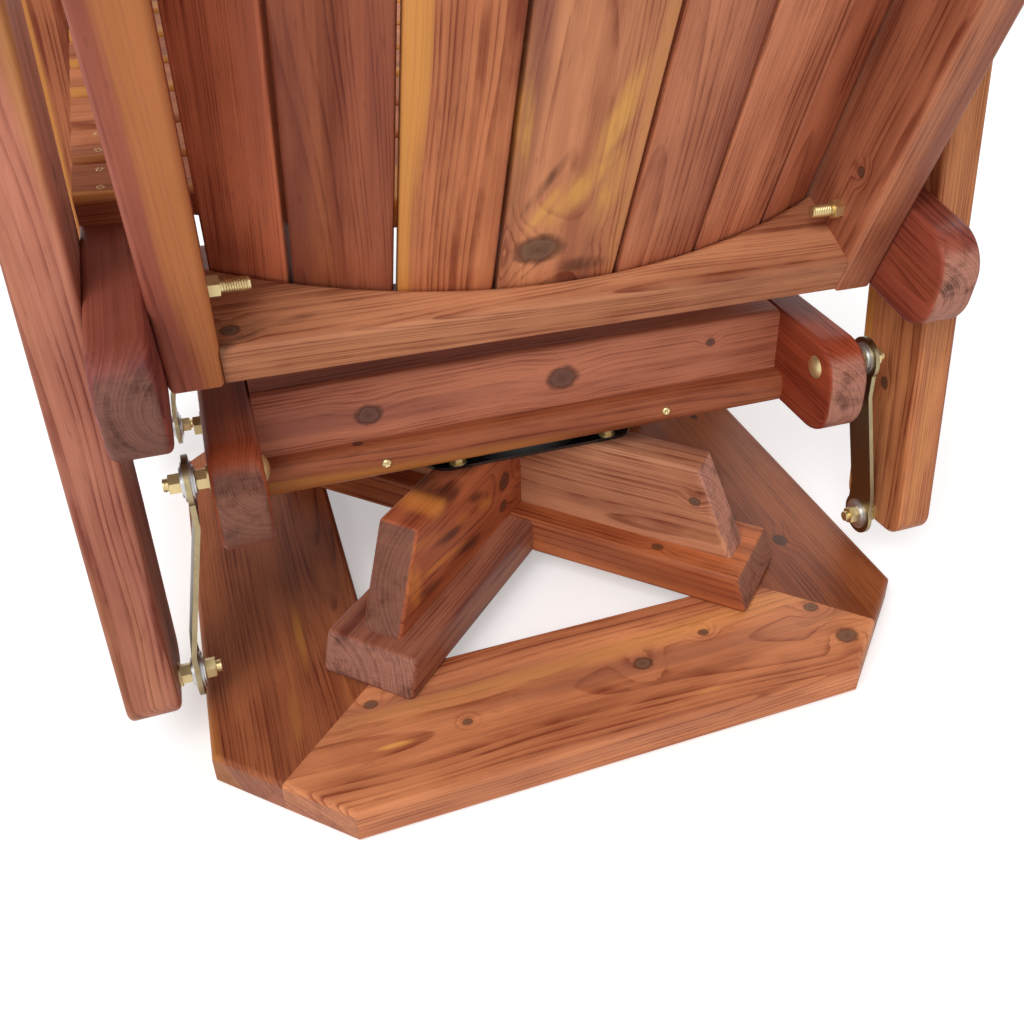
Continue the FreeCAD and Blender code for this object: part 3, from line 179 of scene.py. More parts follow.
YELLOW_ZINC_NODES = ["base_screws", "carriage_lag_bolts", "swivel_lower_bolts",
                     "swivel_upper_bolts", "frame_bolts", "frame_nuts"]
PIVOT_NODES = ["link_top_bolts", "link_top_spacers", "link_top_nuts",
               "link_bottom_bolts", "link_bottom_spacers", "link_bottom_nuts"]
STRAP_NODES = ["rear_link_left", "rear_link_right", "front_link_left", "front_link_right"]
BEARING_NODES = ["rear_link_bearings", "front_link_bearings"]
BRIGHT_SWIVEL_NODES = ["swivel_lower_race", "swivel_upper_race", "swivel_balls", "swivel_pin"]
PLATE_NODES = ["swivel_lower_plate", "swivel_upper_plate"]

# Pieces of thread: name, body, bolts and the nuts that they pass through
THREADED = [("frame_bolt_threads", "seat", "frame_bolts", "frame_nuts"),
            ("link_top_threads", "carriage", "link_top_bolts", "link_top_nuts"),
            ("link_bottom_threads", "seat", "link_bottom_bolts", "link_bottom_nuts")]
BOLT_RADIUS = 0.00475
BACK_CURVE = 0.577
SEAT_SLAT_THICK = 0.022
# Half the distance between the two screws of a pair
SLAT_SCREW_STEP = 0.013
ARM_SCREW_STEP = 0.021
# Turn of each screw past the one before it, in radians
SCREW_TURN = 2.4
# Shank under a head and slot of its cross recess, as shares of the head and of the recess's arm
SHANK_SHARE = 0.8
SLOT_SHARE = 0.24
# Section of the thread: share of its height and share of its pitch
THREAD_SECTION = ((0, 0.1), (1, 0.42), (1, 0.58), (0, 0.9))
# Clearance that keeps the thread's root off the bolt's skin
THREAD_LIFT = 0.00002

# Where the soft lights stand and what they are turned to
MAIN_LIGHT = Vector((1.5, 1.9, 2.6))
SIDE_LIGHT = Vector((-2.0, -1.8, 2.2))
LIT_SPOT = Vector((0, 0, 0.35))
LIGHT_WIDE = 1.8
FLOOR_HALF = 6
SENSOR_WIDE = 36
# How far the growth of seat slats cut from one board may shift: along, across, through
SLAT_SHIFT = (2.0, 0.05, 0.03)
SEAT_SLAT_SEED = 7


class CedarLook(PropertyGroup):
    """Colours and growth of the cedar boards."""
    pale: FloatVectorProperty(
        name="Pale heartwood", description="Wood grown early in a year", subtype="COLOR", size=3,
        min=0, max=1, default=(0.62, 0.225, 0.100))
    dark: FloatVectorProperty(
        name="Dark heartwood", description="Wood grown late in a year", subtype="COLOR", size=3, min=0, max=1,
        default=(0.205, 0.043, 0.019))
    plum: FloatVectorProperty(
        name="Plum heartwood", description="Dull purple-brown bands", subtype="COLOR", size=3, min=0, max=1,
        default=(0.225, 0.070, 0.045))
    sap: FloatVectorProperty(
        name="Sapwood", description="Yellow wood near the bark", subtype="COLOR", size=3, min=0, max=1,
        default=(0.70, 0.315, 0.072))
    knot: FloatVectorProperty(
        name="Knots", description="Dark rims and rings of the knots", subtype="COLOR", size=3, min=0, max=1,
        default=(0.050, 0.018, 0.012))
    knot_heart: FloatVectorProperty(
        name="Knot hearts", description="Paler rings inside the knots", subtype="COLOR", size=3, min=0, max=1,
        default=(0.185, 0.092, 0.056))
    end_grain: FloatVectorProperty(
        name="End grain", description="Sawn ends, which take more finish", subtype="COLOR", size=3,
        min=0, max=1, default=(0.34, 0.150, 0.105))
    ring_width: FloatProperty(
        name="Ring width", description="Usual growth of one year", unit="LENGTH", default=0.0033)
    polish: FloatProperty(
        name="Polish", description="Weight of the clear finish", subtype="FACTOR", min=0, max=1, default=0.04)


class MetalLook(PropertyGroup):
    """Colours of the plated and painted steel."""
    yellow_zinc: FloatVectorProperty(
        name="Yellow zinc", description="Bolts, nuts and screws", subtype="COLOR", size=3, min=0, max=1,
        default=(0.165, 0.097, 0.014))
    strap_zinc: FloatVectorProperty(
        name="Link zinc", description="Straps of the links", subtype="COLOR", size=3, min=0, max=1,
        default=(0.40, 0.325, 0.185))
    bright_zinc: FloatVectorProperty(
        name="Bright zinc", description="Bearings and ball races", subtype="COLOR", size=3, min=0, max=1,
        default=(0.17, 0.185, 0.197))
    black_paint: FloatVectorProperty(
        name="Black paint", description="Swivel plates", subtype="COLOR", size=3, min=0, max=1,
        default=(0.006, 0.006, 0.007))


class FastenerSizes(PropertyGroup):
    """Sizes of the small fasteners that are added to the boards."""
    screw_head: FloatProperty(
        name="Slat screw head", description="Radius of the slat screws' heads", unit="LENGTH", default=0.0042)
    screw_proud: FloatProperty(
        name="Slat screw height", description="Slat screws above the wood", unit="LENGTH", default=0.0006)
    pan_head: FloatProperty(
        name="Pan screw head", description="Radius of the heads in the flat boards", unit="LENGTH",
        default=0.0046)
    pan_proud: FloatProperty(
        name="Pan screw height", description="Those screws above the wood", unit="LENGTH", default=0.0026)
    screw_sunk: FloatProperty(
        name="Screw depth", description="Heads below the wood", unit="LENGTH", default=0.0018)
    cross_arm: FloatProperty(
        name="Cross recess", description="Arm of the recess, as a share of the head", subtype="FACTOR",
        default=0.6)
    cross_deep: FloatProperty(
        name="Recess depth", description="Depth of the recess", unit="LENGTH", default=0.0017)
    thread_pitch: FloatProperty(
        name="Thread pitch", description="Rise of one turn of thread", unit="LENGTH", default=0.0017)
    thread_proud: FloatProperty(
        name="Thread height", description="Thread crest above the bolt", unit="LENGTH", default=0.0006)


class StudioLook(PropertyGroup):
    """Floor, lights and camera."""
    floor_colour: FloatVectorProperty(
        name="Floor", description="Colour of the pale floor", subtype="COLOR", size=3, min=0, max=1,
        default=(0.88, 0.88, 0.88))
    room_light: FloatProperty(name="Room light", description="Even light from all round", default=0.5, min=0)
    key_power: FloatProperty(
        name="Main light", description="Soft light above the camera", unit="POWER", default=66)
    side_power: FloatProperty(
        name="Side light", description="Soft light from the front", unit="POWER", default=26)
    camera_place: FloatVectorProperty(
        name="Camera", description="Where the camera stands", subtype="TRANSLATION", size=3,
        default=(0.2455, 0.8523, 0.6869))
    heading: FloatProperty(
        name="Heading", description="Camera's turn off the middle of the chair", subtype="ANGLE",
        default=math.radians(22.62))
    dip: FloatProperty(
        name="Dip", description="Camera's look downwards", subtype="ANGLE", default=math.radians(31.3))
    roll: FloatProperty(name="Roll", description="Camera's lean", subtype="ANGLE", default=math.radians(1.59))
    lens: FloatProperty(name="Lens", description="Focal length in millimetres", default=36.88, min=1)
    shift: FloatVectorProperty(
        name="Shift", description="Shift of the frame", size=2, default=(-0.0996, -0.0898))


def feed(tree, socket, value):
    if isinstance(value, bpy.types.NodeSocket):
        tree.links.new(value, socket)
    elif socket.type == "RGBA" and len(value) == 3:
        socket.default_value = (*value, 1)
    else:
        socket.default_value = value


def add(tree, kind, settings=None, **inputs):
    """Put a node into a tree, with its settings and its inputs by name (spaces as underscores)."""
    node = tree.nodes.new("ShaderNode" + kind)
    for name, value in (settings or {}).items():
        setattr(node, name, value)
    for name, value in inputs.items():
        feed(tree, node.inputs[name.replace("_", " ")], value)
    return node


def figure(tree, operation, *values):
    node = add(tree, "Math", {"operation": operation})
    for socket, value in zip(node.inputs, values):
        feed(tree, socket, value)
    return node.outputs[0]


def arrow(tree, operation, *values):
    node = add(tree, "VectorMath", {"operation": operation})
    for socket, value in zip(node.inputs, values):
        feed(tree, socket, value)
    return node.outputs["Value" if operation in ("LENGTH", "DOT_PRODUCT") else "Vector"]


def blend(tree, amount, first, second, way="MIX"):
    node = add(tree, "Mix", {"data_type": "RGBA", "blend_type": way})
    for number, value in ((0, amount), (6, first), (7, second)):
        feed(tree, node.inputs[number], value)
    return node.outputs[2]


def ease(tree, value, low, high, start=0.0, finish=1.0):
    """Smooth step from start to finish as a value goes from low to high."""
    node = add(tree, "MapRange", {"interpolation_type": "SMOOTHSTEP"}, Value=value, From_Min=low,
               From_Max=high, To_Min=start, To_Max=finish)
    return node.outputs[0]


def cloud(tree, place, stretch, detail=2.0):
    """Noise over a place stretched along each axis."""
    return add(tree, "TexNoise", Vector=arrow(tree, "MULTIPLY", place, stretch), Scale=1.0, Detail=detail)


def shader_group(name, inputs, outputs):
    tree = bpy.data.node_groups.new(name, "ShaderNodeTree")
    kinds = {"V": "NodeSocketVector", "F": "NodeSocketFloat", "C": "NodeSocketColor"}
    for label, kind in inputs:
        tree.interface.new_socket(label, in_out="INPUT", socket_type=kinds[kind])
    for label, kind in outputs:
        tree.interface.new_socket(label, in_out="OUTPUT", socket_type=kinds[kind])
    return tree, tree.nodes.new("NodeGroupInput").outputs, tree.nodes.new("NodeGroupOutput").inputs


def cedar_knot():
    """A knot: its patch, rim and rings and the bend of the grain round it; or the soft glow of a blaze."""
    tree, given, made = shader_group(
        "cedar knot", [("Vector", "V"), ("Centre", "V"), ("Size", "V"), ("Lean", "F")],
        [("Mask", "F"), ("Rim", "F"), ("Rings", "F"), ("Bulge", "F"), ("Glow", "F")])
    along, across, _ = add(tree, "SeparateXYZ", Vector=arrow(tree, "SUBTRACT", given["Vector"],
                                                             given["Centre"])).outputs
    across = figure(tree, "SUBTRACT", across, figure(tree, "MULTIPLY", along, given["Lean"]))
    away = arrow(tree, "DIVIDE", add(tree, "CombineXYZ", X=along, Y=across).outputs[0], given["Size"])
    own = arrow(tree, "MULTIPLY_ADD", given["Centre"], (90, 90, 90), away)
    ragged = cloud(tree, own, (1.6, 1.6, 1.6), 3.0).outputs[0]
    distance = arrow(tree, "LENGTH", away)
    distance = figure(tree, "MULTIPLY_ADD", figure(tree, "SUBTRACT", ragged, 0.5), 0.6, distance)
    mask = ease(tree, distance, 0.75, 1.05, 1.0, 0.0)
    feed(tree, made["Mask"], mask)
    feed(tree, made["Rim"], figure(tree, "MULTIPLY", ease(tree, distance, 0.72, 0.94),
                                   ease(tree, distance, 0.98, 1.45, 1.0, 0.0)))
    wave = figure(tree, "SINE", figure(tree, "MULTIPLY", distance, 10.0))
    light = figure(tree, "MULTIPLY", ease(tree, distance, 0.0, 0.5, 0.4, 1.0), mask)
    feed(tree, made["Rings"], figure(tree, "MULTIPLY", light, figure(tree, "MULTIPLY_ADD", wave, 0.1, 0.7)))
    feed(tree, made["Bulge"], ease(tree, distance, 0.3, 4.5, 1.0, 0.0))
    feed(tree, made["Glow"], ease(tree, distance, 0.3, 1.3, 1.0, 0.0))
    return tree


def cedar_grain():
    """Growth rings round the heart of a log, seen wherever the board is cut."""
    tree, given, made = shader_group(
        "cedar grain",
        [("Vector", "V"), ("Heart", "V"), ("Seed", "F"), ("Ring Width", "F"), ("Sap Radius", "F"),
         ("Knot", "F"), ("Rim", "F"), ("Rings", "F"), ("Bulge", "F"), ("Blaze", "F"), ("Smudge", "F"),
         ("End", "F"), ("Pale", "C"), ("Dark", "C"), ("Plum", "C"), ("Sap", "C"), ("Knot Colour", "C"),
         ("Knot Heart", "C"), ("End Colour", "C"), ("End Tone", "F"), ("Tint", "C")],
        [("Color", "C"), ("Roughness", "F"), ("Height", "F")])
    log_part = arrow(tree, "SCALE", (3.1, 1.7, 2.3))
    feed(tree, log_part.node.inputs["Scale"], given["Seed"])
    own = arrow(tree, "ADD", given["Vector"], log_part)
    # The heart of the log wanders, and the rings swell round a knot
    sway = cloud(tree, own, (2.0, 8, 8))
    bent = arrow(tree, "MULTIPLY_ADD", arrow(tree, "SUBTRACT", sway.outputs[1], (0.5, 0.5, 0.5)),
                 (0, 0.022, 0.022), given["Vector"])
    from_heart = arrow(tree, "SUBTRACT", bent, given["Heart"])
    radius = arrow(tree, "LENGTH", arrow(tree, "MULTIPLY", from_heart, (0, 1, 1)))
    along = add(tree, "SeparateXYZ", Vector=given["Vector"]).outputs[0]
    radius = figure(tree, "MULTIPLY_ADD", along, 0.012, radius)
    radius = figure(tree, "MULTIPLY_ADD", given["Bulge"], 0.006, radius)
    years = figure(tree, "DIVIDE", radius, given["Ring Width"])
    # Good and bad years differ in width
    weather = figure(tree, "ADD", years, given["Seed"])
    weather = add(tree, "TexNoise", {"noise_dimensions": "1D"}, W=weather, Scale=0.45, Detail=1.0).outputs[0]
    years = figure(tree, "MULTIPLY_ADD", weather, 2.2, years)
    season = figure(tree, "FRACT", years)
    late = figure(tree, "MULTIPLY", ease(tree, season, 0.45, 0.92), ease(tree, season, 0.94, 1.0, 1.0, 0.0))
    fibre = cloud(tree, own, (9, 520, 520), 4.0).outputs[0]
    streak = cloud(tree, own, (1.3, 34, 34), 4.0).outputs[0]
    patch = cloud(tree, own, (3.2, 12, 12), 3.0).outputs[0]
    mottle = cloud(tree, own, (16, 60, 60), 3.0).outputs[0]
    ticks = ease(tree, cloud(tree, own, (55, 420, 420), 1.0).outputs[0], 0.64, 0.76, 0.0, 0.2)
    bands = add(tree, "SeparateXYZ", Vector=cloud(tree, own, (1.4, 24, 24), 2.0).outputs[1]).outputs

    # Heartwood between its pale and its dark tone, with dull and golden bands
    bold = figure(tree, "MULTIPLY", late, ease(tree, mottle, 0.3, 0.65, 0.12, 0.5))
    share = figure(tree, "ADD", bold, 0.2)
    for layer, weight in ((streak, 1.5), (fibre, 0.6), (patch, 1.6), (mottle, 0.5)):
        share = figure(tree, "MULTIPLY_ADD", figure(tree, "SUBTRACT", layer, 0.48), weight, share)
    heartwood = blend(tree, figure(tree, "MAXIMUM", 0.0, figure(tree, "MINIMUM", share, 1.0)),
                      given["Pale"], given["Dark"])
    heartwood = blend(tree, ease(tree, bands[0], 0.52, 0.72, 0.0, 0.6), heartwood, given["Plum"])
    heartwood = blend(tree, ease(tree, bands[1], 0.58, 0.76, 0.0, 0.28), heartwood, given["Sap"])
    heartwood = blend(tree, ticks, heartwood, given["Knot Colour"])
    # Sapwood past its radius and in the blazes, then the smudges and the knots
    edge = figure(tree, "MULTIPLY_ADD", figure(tree, "SUBTRACT", streak, 0.5), 0.02, radius)
    edge = figure(tree, "SUBTRACT", edge, given["Sap Radius"])
    blaze = figure(tree, "MULTIPLY", given["Blaze"], ease(tree, mottle, 0.36, 0.58, 0.35, 1.0))
    sapwood = figure(tree, "MAXIMUM", ease(tree, edge, -0.002, 0.0025), blaze)
    yellow = blend(tree, figure(tree, "MULTIPLY", late, 0.3), given["Sap"], given["Pale"])
    wood = blend(tree, figure(tree, "MULTIPLY", sapwood, 0.74), heartwood, yellow)
    smudge = figure(tree, "MULTIPLY", given["Smudge"], ease(tree, mottle, 0.36, 0.58, 0.25, 0.7))
    wood = blend(tree, smudge, wood, given["Knot Colour"])
    knot = blend(tree, given["Rings"], given["Knot Colour"], given["Knot Heart"])
    wood = blend(tree, figure(tree, "MULTIPLY", given["Knot"], 0.92), wood, knot)
    wood = blend(tree, figure(tree, "MULTIPLY", given["Rim"], 0.68), wood, given["Knot Colour"])
    # Sawn ends, with saw marks and blotches of finish
    blotch = cloud(tree, own, (42, 42, 42), 3.0).outputs[0]
    saw_marks = figure(tree, "ADD", cloud(tree, own, (70, 900, 70), 1.0).outputs[0],
                       cloud(tree, own, (70, 70, 900), 1.0).outputs[0])
    stain = figure(tree, "ADD", figure(tree, "MULTIPLY", late, 0.5), ease(tree, blotch, 0.45, 0.68, 0.0, 0.9))
    stain = figure(tree, "MULTIPLY_ADD", figure(tree, "SUBTRACT", saw_marks, 0.95), 1.1, stain)
    stain = figure(tree, "MAXIMUM", 0.0, figure(tree, "MULTIPLY", stain, 0.6))
    sawn = arrow(tree, "SCALE", given["End Colour"])
    feed(tree, sawn.node.inputs["Scale"], given["End Tone"])
    sawn = blend(tree, stain, sawn, given["Knot Colour"])
    wood = blend(tree, 1.0, wood, given["Tint"], "MULTIPLY")
    feed(tree, made["Color"], blend(tree, figure(tree, "MULTIPLY", given["End"], 0.88), wood, sawn))

    gloss = figure(tree, "MULTIPLY_ADD", fibre, 0.22, 0.38)
    gloss = figure(tree, "MULTIPLY_ADD", given["End"], 0.12, gloss)
    feed(tree, made["Roughness"], figure(tree, "MULTIPLY_ADD", late, -0.05, gloss))
    relief = figure(tree, "MULTIPLY_ADD", late, 0.45, fibre)
    relief = figure(tree, "MULTIPLY_ADD", figure(tree, "MULTIPLY", given["End"], saw_marks), 0.6, relief)
    feed(tree, made["Height"], figure(tree, "MULTIPLY_ADD", given["Rim"], -0.5, relief))
    return tree


def plated_skin():
    """Colour drift, fine scratches and dull spots of plated or painted steel."""
    tree, given, made = shader_group(
        "plated skin", [("Vector", "V"), ("First", "C"), ("Second", "C"), ("Third", "C"), ("Shine", "F")],
        [("Color", "C"), ("Roughness", "F"), ("Height", "F")])
    drift = cloud(tree, given["Vector"], (70, 70, 70), 2.0).outputs[0]
    spots = cloud(tree, given["Vector"], (320, 320, 320), 3.0).outputs[0]
    marks = cloud(tree, given["Vector"], (900, 900, 160), 2.0).outputs[0]
    skin = blend(tree, ease(tree, drift, 0.35, 0.65), given["First"], given["Second"])
    skin = blend(tree, ease(tree, spots, 0.5, 0.75, 0.0, 0.6), skin, given["Third"])
    feed(tree, made["Color"], skin)
    dull = figure(tree, "MULTIPLY_ADD", spots, 0.16, given["Shine"])
    feed(tree, made["Roughness"], figure(tree, "MULTIPLY_ADD", marks, 0.08, dull))
    feed(tree, made["Height"], figure(tree, "ADD", spots, marks))
    return tree


def shared_group(name, maker):
    return bpy.data.node_groups.get(name) or maker()


def new_material(name):
    material = bpy.data.materials.new(name)
    material.use_nodes = True
    tree = material.node_tree
    return material, tree, tree.nodes["Principled BSDF"]


def use_group(tree, group, **inputs):
    node = tree.nodes.new("ShaderNodeGroup")
    node.node_tree = group
    for name, value in inputs.items():
        feed(tree, node.inputs[name.replace("_", " ")], value)
    return node.outputs


def shade(tree, shader, skin, bump, depth):
    """Lead a group's colour, roughness and height to the shader."""
    tree.links.new(skin["Color"], shader.inputs["Base Color"])
    tree.links.new(skin["Roughness"], shader.inputs["Roughness"])
    relief = add(tree, "Bump", Strength=bump, Distance=depth, Height=skin["Height"])
    tree.links.new(relief.outputs[0], shader.inputs["Normal"])


def board_place(tree, board, middle):
    """Object coordinates turned into the board's own: along the grain, across it, through the board."""
    through = board.grain.cross(board.width)
    turn = Matrix((board.grain, board.width, through)).transposed()
    spot = add(tree, "TexCoord")
    mapping = add(tree, "Mapping", {"vector_type": "TEXTURE"}, Vector=spot.outputs["Object"], Location=middle,
                  Rotation=turn.to_euler())
    endwise = arrow(tree, "DOT_PRODUCT", spot.outputs["Normal"], board.grain)
    return mapping.outputs[0], ease(tree, figure(tree, "ABSOLUTE", endwise), 0.55, 0.85)


def soft_patches(tree, place, patches):
    """Strength of a board's blazes or smudges, whichever is strongest at a place."""
    strength = 0.0
    for along, across, long, wide, lean in patches:
        patch = use_group(tree, shared_group("cedar knot", cedar_knot), Vector=place,
                          Centre=(along, across, 0), Size=(long, wide, 1), Lean=lean)
        strength = figure(tree, "MAXIMUM", patch["Glow"], strength)
    return strength


def cedar(look, board, middle, seed, slat_pitch=None):
    """Material of one board; slats that share a node are told apart by their pitch."""
    material, tree, shader = new_material(f"cedar_{board.node}")
    place, end = board_place(tree, board, middle)
    if slat_pitch:
        across = add(tree, "SeparateXYZ", Vector=place).outputs[1]
        number = figure(tree, "FLOOR", figure(tree, "DIVIDE", across, slat_pitch))
        number = figure(tree, "MINIMUM", number, 0.0)
        chance = add(tree, "TexWhiteNoise", {"noise_dimensions": "1D"}, W=number)
        shift = arrow(tree, "SUBTRACT", chance.outputs[1], (0.5, 0.5, 0.5))
        shift = arrow(tree, "MULTIPLY", shift, SLAT_SHIFT)
        back = add(tree, "CombineXYZ", Y=figure(tree, "MULTIPLY", number, -slat_pitch))
        place = arrow(tree, "ADD", place, arrow(tree, "ADD", shift, back.outputs[0]))
    knot_group = shared_group("cedar knot", cedar_knot)
    marks = {"Mask": 0.0, "Rim": 0.0, "Rings": 0.0, "Bulge": 0.0}
    for along, across, long, wide in board.knots:
        knot = use_group(tree, knot_group, Vector=place, Centre=(along, across, 0), Size=(long, wide, 1))
        for name, so_far in marks.items():
            marks[name] = figure(tree, "MAXIMUM", knot[name], so_far)
    skin = use_group(
        tree, shared_group("cedar grain", cedar_grain), Vector=place, Heart=(0, *board.heart),
        Seed=float(seed), Ring_Width=look.ring_width, Sap_Radius=board.sap, Knot=marks["Mask"],
        Rim=marks["Rim"], Rings=marks["Rings"], Bulge=marks["Bulge"],
        Blaze=soft_patches(tree, place, board.blazes), Smudge=soft_patches(tree, place, board.smudges),
        End=end, Pale=look.pale, Dark=look.dark, Plum=look.plum, Sap=look.sap, Knot_Colour=look.knot,
        Knot_Heart=look.knot_heart, End_Colour=look.end_grain, End_Tone=SAWN_ENDS.get(board.node, 1.0),
        Tint=board.tint)
    shade(tree, shader, skin, 0.3, 0.0005)
    shader.inputs["Specular IOR Level"].default_value = 0.16
    shader.inputs["Coat Weight"].default_value = look.polish
    shader.inputs["Coat Roughness"].default_value = 0.28
    return material


def dress(node, material):
    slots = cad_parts[node].data.materials
    slots.clear()
    slots.append(material)


def dress_boards(context, boards):
    names = sorted(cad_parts)
    for board in boards:
        low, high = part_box(board.node)
        dress(board.node, cedar(context.scene.glider_cedar, board, (low + high) / 2, names.index(board.node)))


def steel(name, colour, second, third, turned, shine, metallic=1.0, coat=0.0):
    """Plated or painted steel: three tints that drift, and a fourth that is painted shade where the skin
    turns away from the view.
    """
    material = bpy.data.materials.get(name)
    if material:
        return material
    material, tree, shader = new_material(name)
    tints = [tuple(part * share for part, share in zip(colour, tint))
             for tint in ((1, 1, 1), second, third, turned)]
    place = add(tree, "TexCoord").outputs["Object"]
    skin = use_group(tree, shared_group("plated skin", plated_skin), Vector=place,
                     First=tints[0], Second=tints[1], Third=tints[2], Shine=shine)
    shade(tree, shader, skin, 0.12, 0.0002)
    # Painted shade: the fourth tint darkens the colour where the skin turns away from the view, standing in
    # for dark reflections
    away = ease(tree, add(tree, "LayerWeight", Blend=0.5).outputs["Facing"], 0.15, 0.75)
    feed(tree, shader.inputs["Base Color"], blend(tree, away, skin["Color"], tints[3]))
    shader.inputs["Metallic"].default_value = metallic
    shader.inputs["Coat Weight"].default_value = coat
    return material


# The last tint of each steel is painted shade, used where the skin turns away from the view
def yellow_zinc(context):
    colour = context.scene.glider_metal.yellow_zinc
    return steel("yellow_zinc", colour, (0.80, 1.12, 1.1), (1.25, 0.70, 0.6), (0.3, 0.24, 0.18), 0.14)


def strap_zinc(context):
    colour = context.scene.glider_metal.strap_zinc
    return steel("strap_zinc", colour, (0.85, 0.84, 0.86), (1.25, 1.22, 1.1), (0.55, 0.52, 0.5), 0.24)


def bright_zinc(context):
    colour = context.scene.glider_metal.bright_zinc
    return steel("bright_zinc", colour, (0.7, 0.78, 0.88), (1.5, 1.42, 1.3), (0.35, 0.36, 0.4), 0.13)


def black_paint(context):
    colour = context.scene.glider_metal.black_paint
    return steel("black_paint", colour, (1.4, 1.4, 1.4), (3, 3, 2.8), (1, 1, 1), 0.1, 0.0, 0.5)


def new_piece(name, mesh, body, material):
    piece = bpy.data.objects.new(name, bpy.data.meshes.new(name))
    mesh.to_mesh(piece.data)
    mesh.free()
    piece.data.materials.append(material)
    for face in piece.data.polygons:
        face.use_smooth = True
    bpy.context.scene.collection.objects.link(piece)
    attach(piece, body)
    return piece


def facing(place, out, side):
    """Matrix that stands a small part at a place, with its Z outwards."""
    side = (side - out * side.dot(out)).normalized()
    return Matrix.Translation(place) @ Matrix((side, out.cross(side), out)).transposed().to_4x4()


def screw_head(mesh, sizes, matrix, turn, radius, proud):
    """Domed head with a cross recess, with its rim sunk into the wood."""
    ring_count, step_count = 8, 32
    arm = radius * sizes.cross_arm
    spin = Matrix.Rotation(turn, 4, "Z")
    circle = [Vector((math.cos(math.tau * step / step_count), math.sin(math.tau * step / step_count), 0))
              for step in range(step_count)]
    rings = []
    for ring in range(1, ring_count + 1):
        points = []
        for way in circle:
            spot = way * radius * ring / ring_count
            narrow, wide = sorted((abs(spot.x), abs(spot.y)))
            spot.z = proud * (1 - (ring / ring_count) ** 4)
            if narrow < arm * SLOT_SHARE and wide < arm:
                spot.z -= sizes.cross_deep * (1 - 0.5 * wide / arm)
            points.append(mesh.verts.new(matrix @ spin @ spot))
        rings.append(points)
    foot = -UP * sizes.screw_sunk
    rings.append([mesh.verts.new(matrix @ (way * radius * SHANK_SHARE + foot)) for way in circle])
    for inner, outer in zip(rings, rings[1:]):
        for step in range(step_count):
            following = (step + 1) % step_count
            mesh.faces.new((inner[step], outer[step], outer[following], inner[following]))
    mesh.faces.new(rings[0])
    mesh.faces.new(rings[-1][::-1])


def thread(mesh, sizes, matrix, length):
    """Helical thread round a bolt's end, running out at its tip."""
    steps = 24
    turns = int(length / sizes.thread_pitch)
    start = length - turns * sizes.thread_pitch
    rows = []
    for number in range(turns * steps + 1 - steps):
        angle = math.tau * number / steps
        height = start + sizes.thread_pitch * number / steps
        ends = min(number, (turns - 1) * steps - number) / steps
        proud = sizes.thread_proud * min(1, ends * 2)
        row = []
        for share, rise in THREAD_SECTION:
            reach = BOLT_RADIUS + THREAD_LIFT + proud * share
            spot = Vector((reach * math.cos(angle), reach * math.sin(angle), height))
            row.append(mesh.verts.new(matrix @ (spot + UP * rise * sizes.thread_pitch)))
        rows.append(row)
    for first, second in zip(rows, rows[1:]):
        for number in range(3):
            mesh.faces.new((first[number], second[number], second[number + 1], first[number + 1]))


def set_screws(context, name, body, heads):
    """Screw heads as one piece: each is a place, the way out, its radius and its height."""
    mesh = bmesh.new()
    sizes = context.scene.glider_fasteners
    for number, (place, out, radius, proud) in enumerate(heads):
        side = UP if abs(out.z) < 0.5 else ACROSS
        screw_head(mesh, sizes, facing(place, out, side), number * SCREW_TURN, radius, proud)
    return new_piece(name, mesh, body, yellow_zinc(context))


def solids_of(node):
    """The separate solids of a node, each as its lowest and highest corner."""
    mesh = bmesh.new()
    mesh.from_mesh(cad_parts[node].data)
    bmesh.ops.remove_doubles(mesh, verts=mesh.verts, dist=1e-6)
    left = set(mesh.verts)
    boxes = []
    while left:
        found = {left.pop()}
        edge = list(found)
        while edge:
            near = {other for corner in edge for link in corner.link_edges for other in link.verts} - found
            found |= near
            edge = list(near)
        left -= found
        spots = [corner.co for corner in found]
        boxes.append((Vector([min(spot[axis] for spot in spots) for axis in range(3)]),
                      Vector([max(spot[axis] for spot in spots) for axis in range(3)])))
    mesh.free()
    return sorted(boxes, key=lambda box: tuple(round(number, 4) for number in box[0]))


def bolt_ends(node, nuts):
    """Where each bolt leaves its nut, which way it points and how far it stands out."""
    nut_boxes = solids_of(nuts)
    ends = []
    for low, high in solids_of(node):
        middle = (low + high) / 2
        nut_low, nut_high = min(nut_boxes, key=lambda box: ((box[0] + box[1]) / 2 - middle).length)
        if high.x - nut_high.x < nut_low.x - low.x:
            start, way, length = nut_high.x, ACROSS, high.x - nut_high.x
        else:
            start, way, length = nut_low.x, -ACROSS, nut_low.x - low.x
        ends.append((Vector((start, middle.y, middle.z)), way, length))
    return ends


def seat_slat_rows():
    """Middles of the seat slats from the front (the rear one without its curve) and the step between them."""
    boxes = sorted(solids_of("seat_slats"), key=lambda box: box[0].y)
    middles = [(low + high) / 2 for low, high in boxes[:-1]]
    step = middles[-1] - middles[-2]
    return middles + [middles[-1] + step], step


def seat_screw_spots():
    """Two screws over each stringer in each seat slat."""
    spots = []
    for middle in seat_slat_rows()[0]:
        top = middle + SEAT_UP * SEAT_SLAT_THICK / 2
        for node in ("stringer_left", "stringer_right"):
            rail_low, rail_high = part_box(node)
            for step in (-1, 1):
                spot = top + SEAT_BACK * step * SLAT_SCREW_STEP
                spot.x = (rail_low.x + rail_high.x) / 2
                spots.append(spot)
    return spots


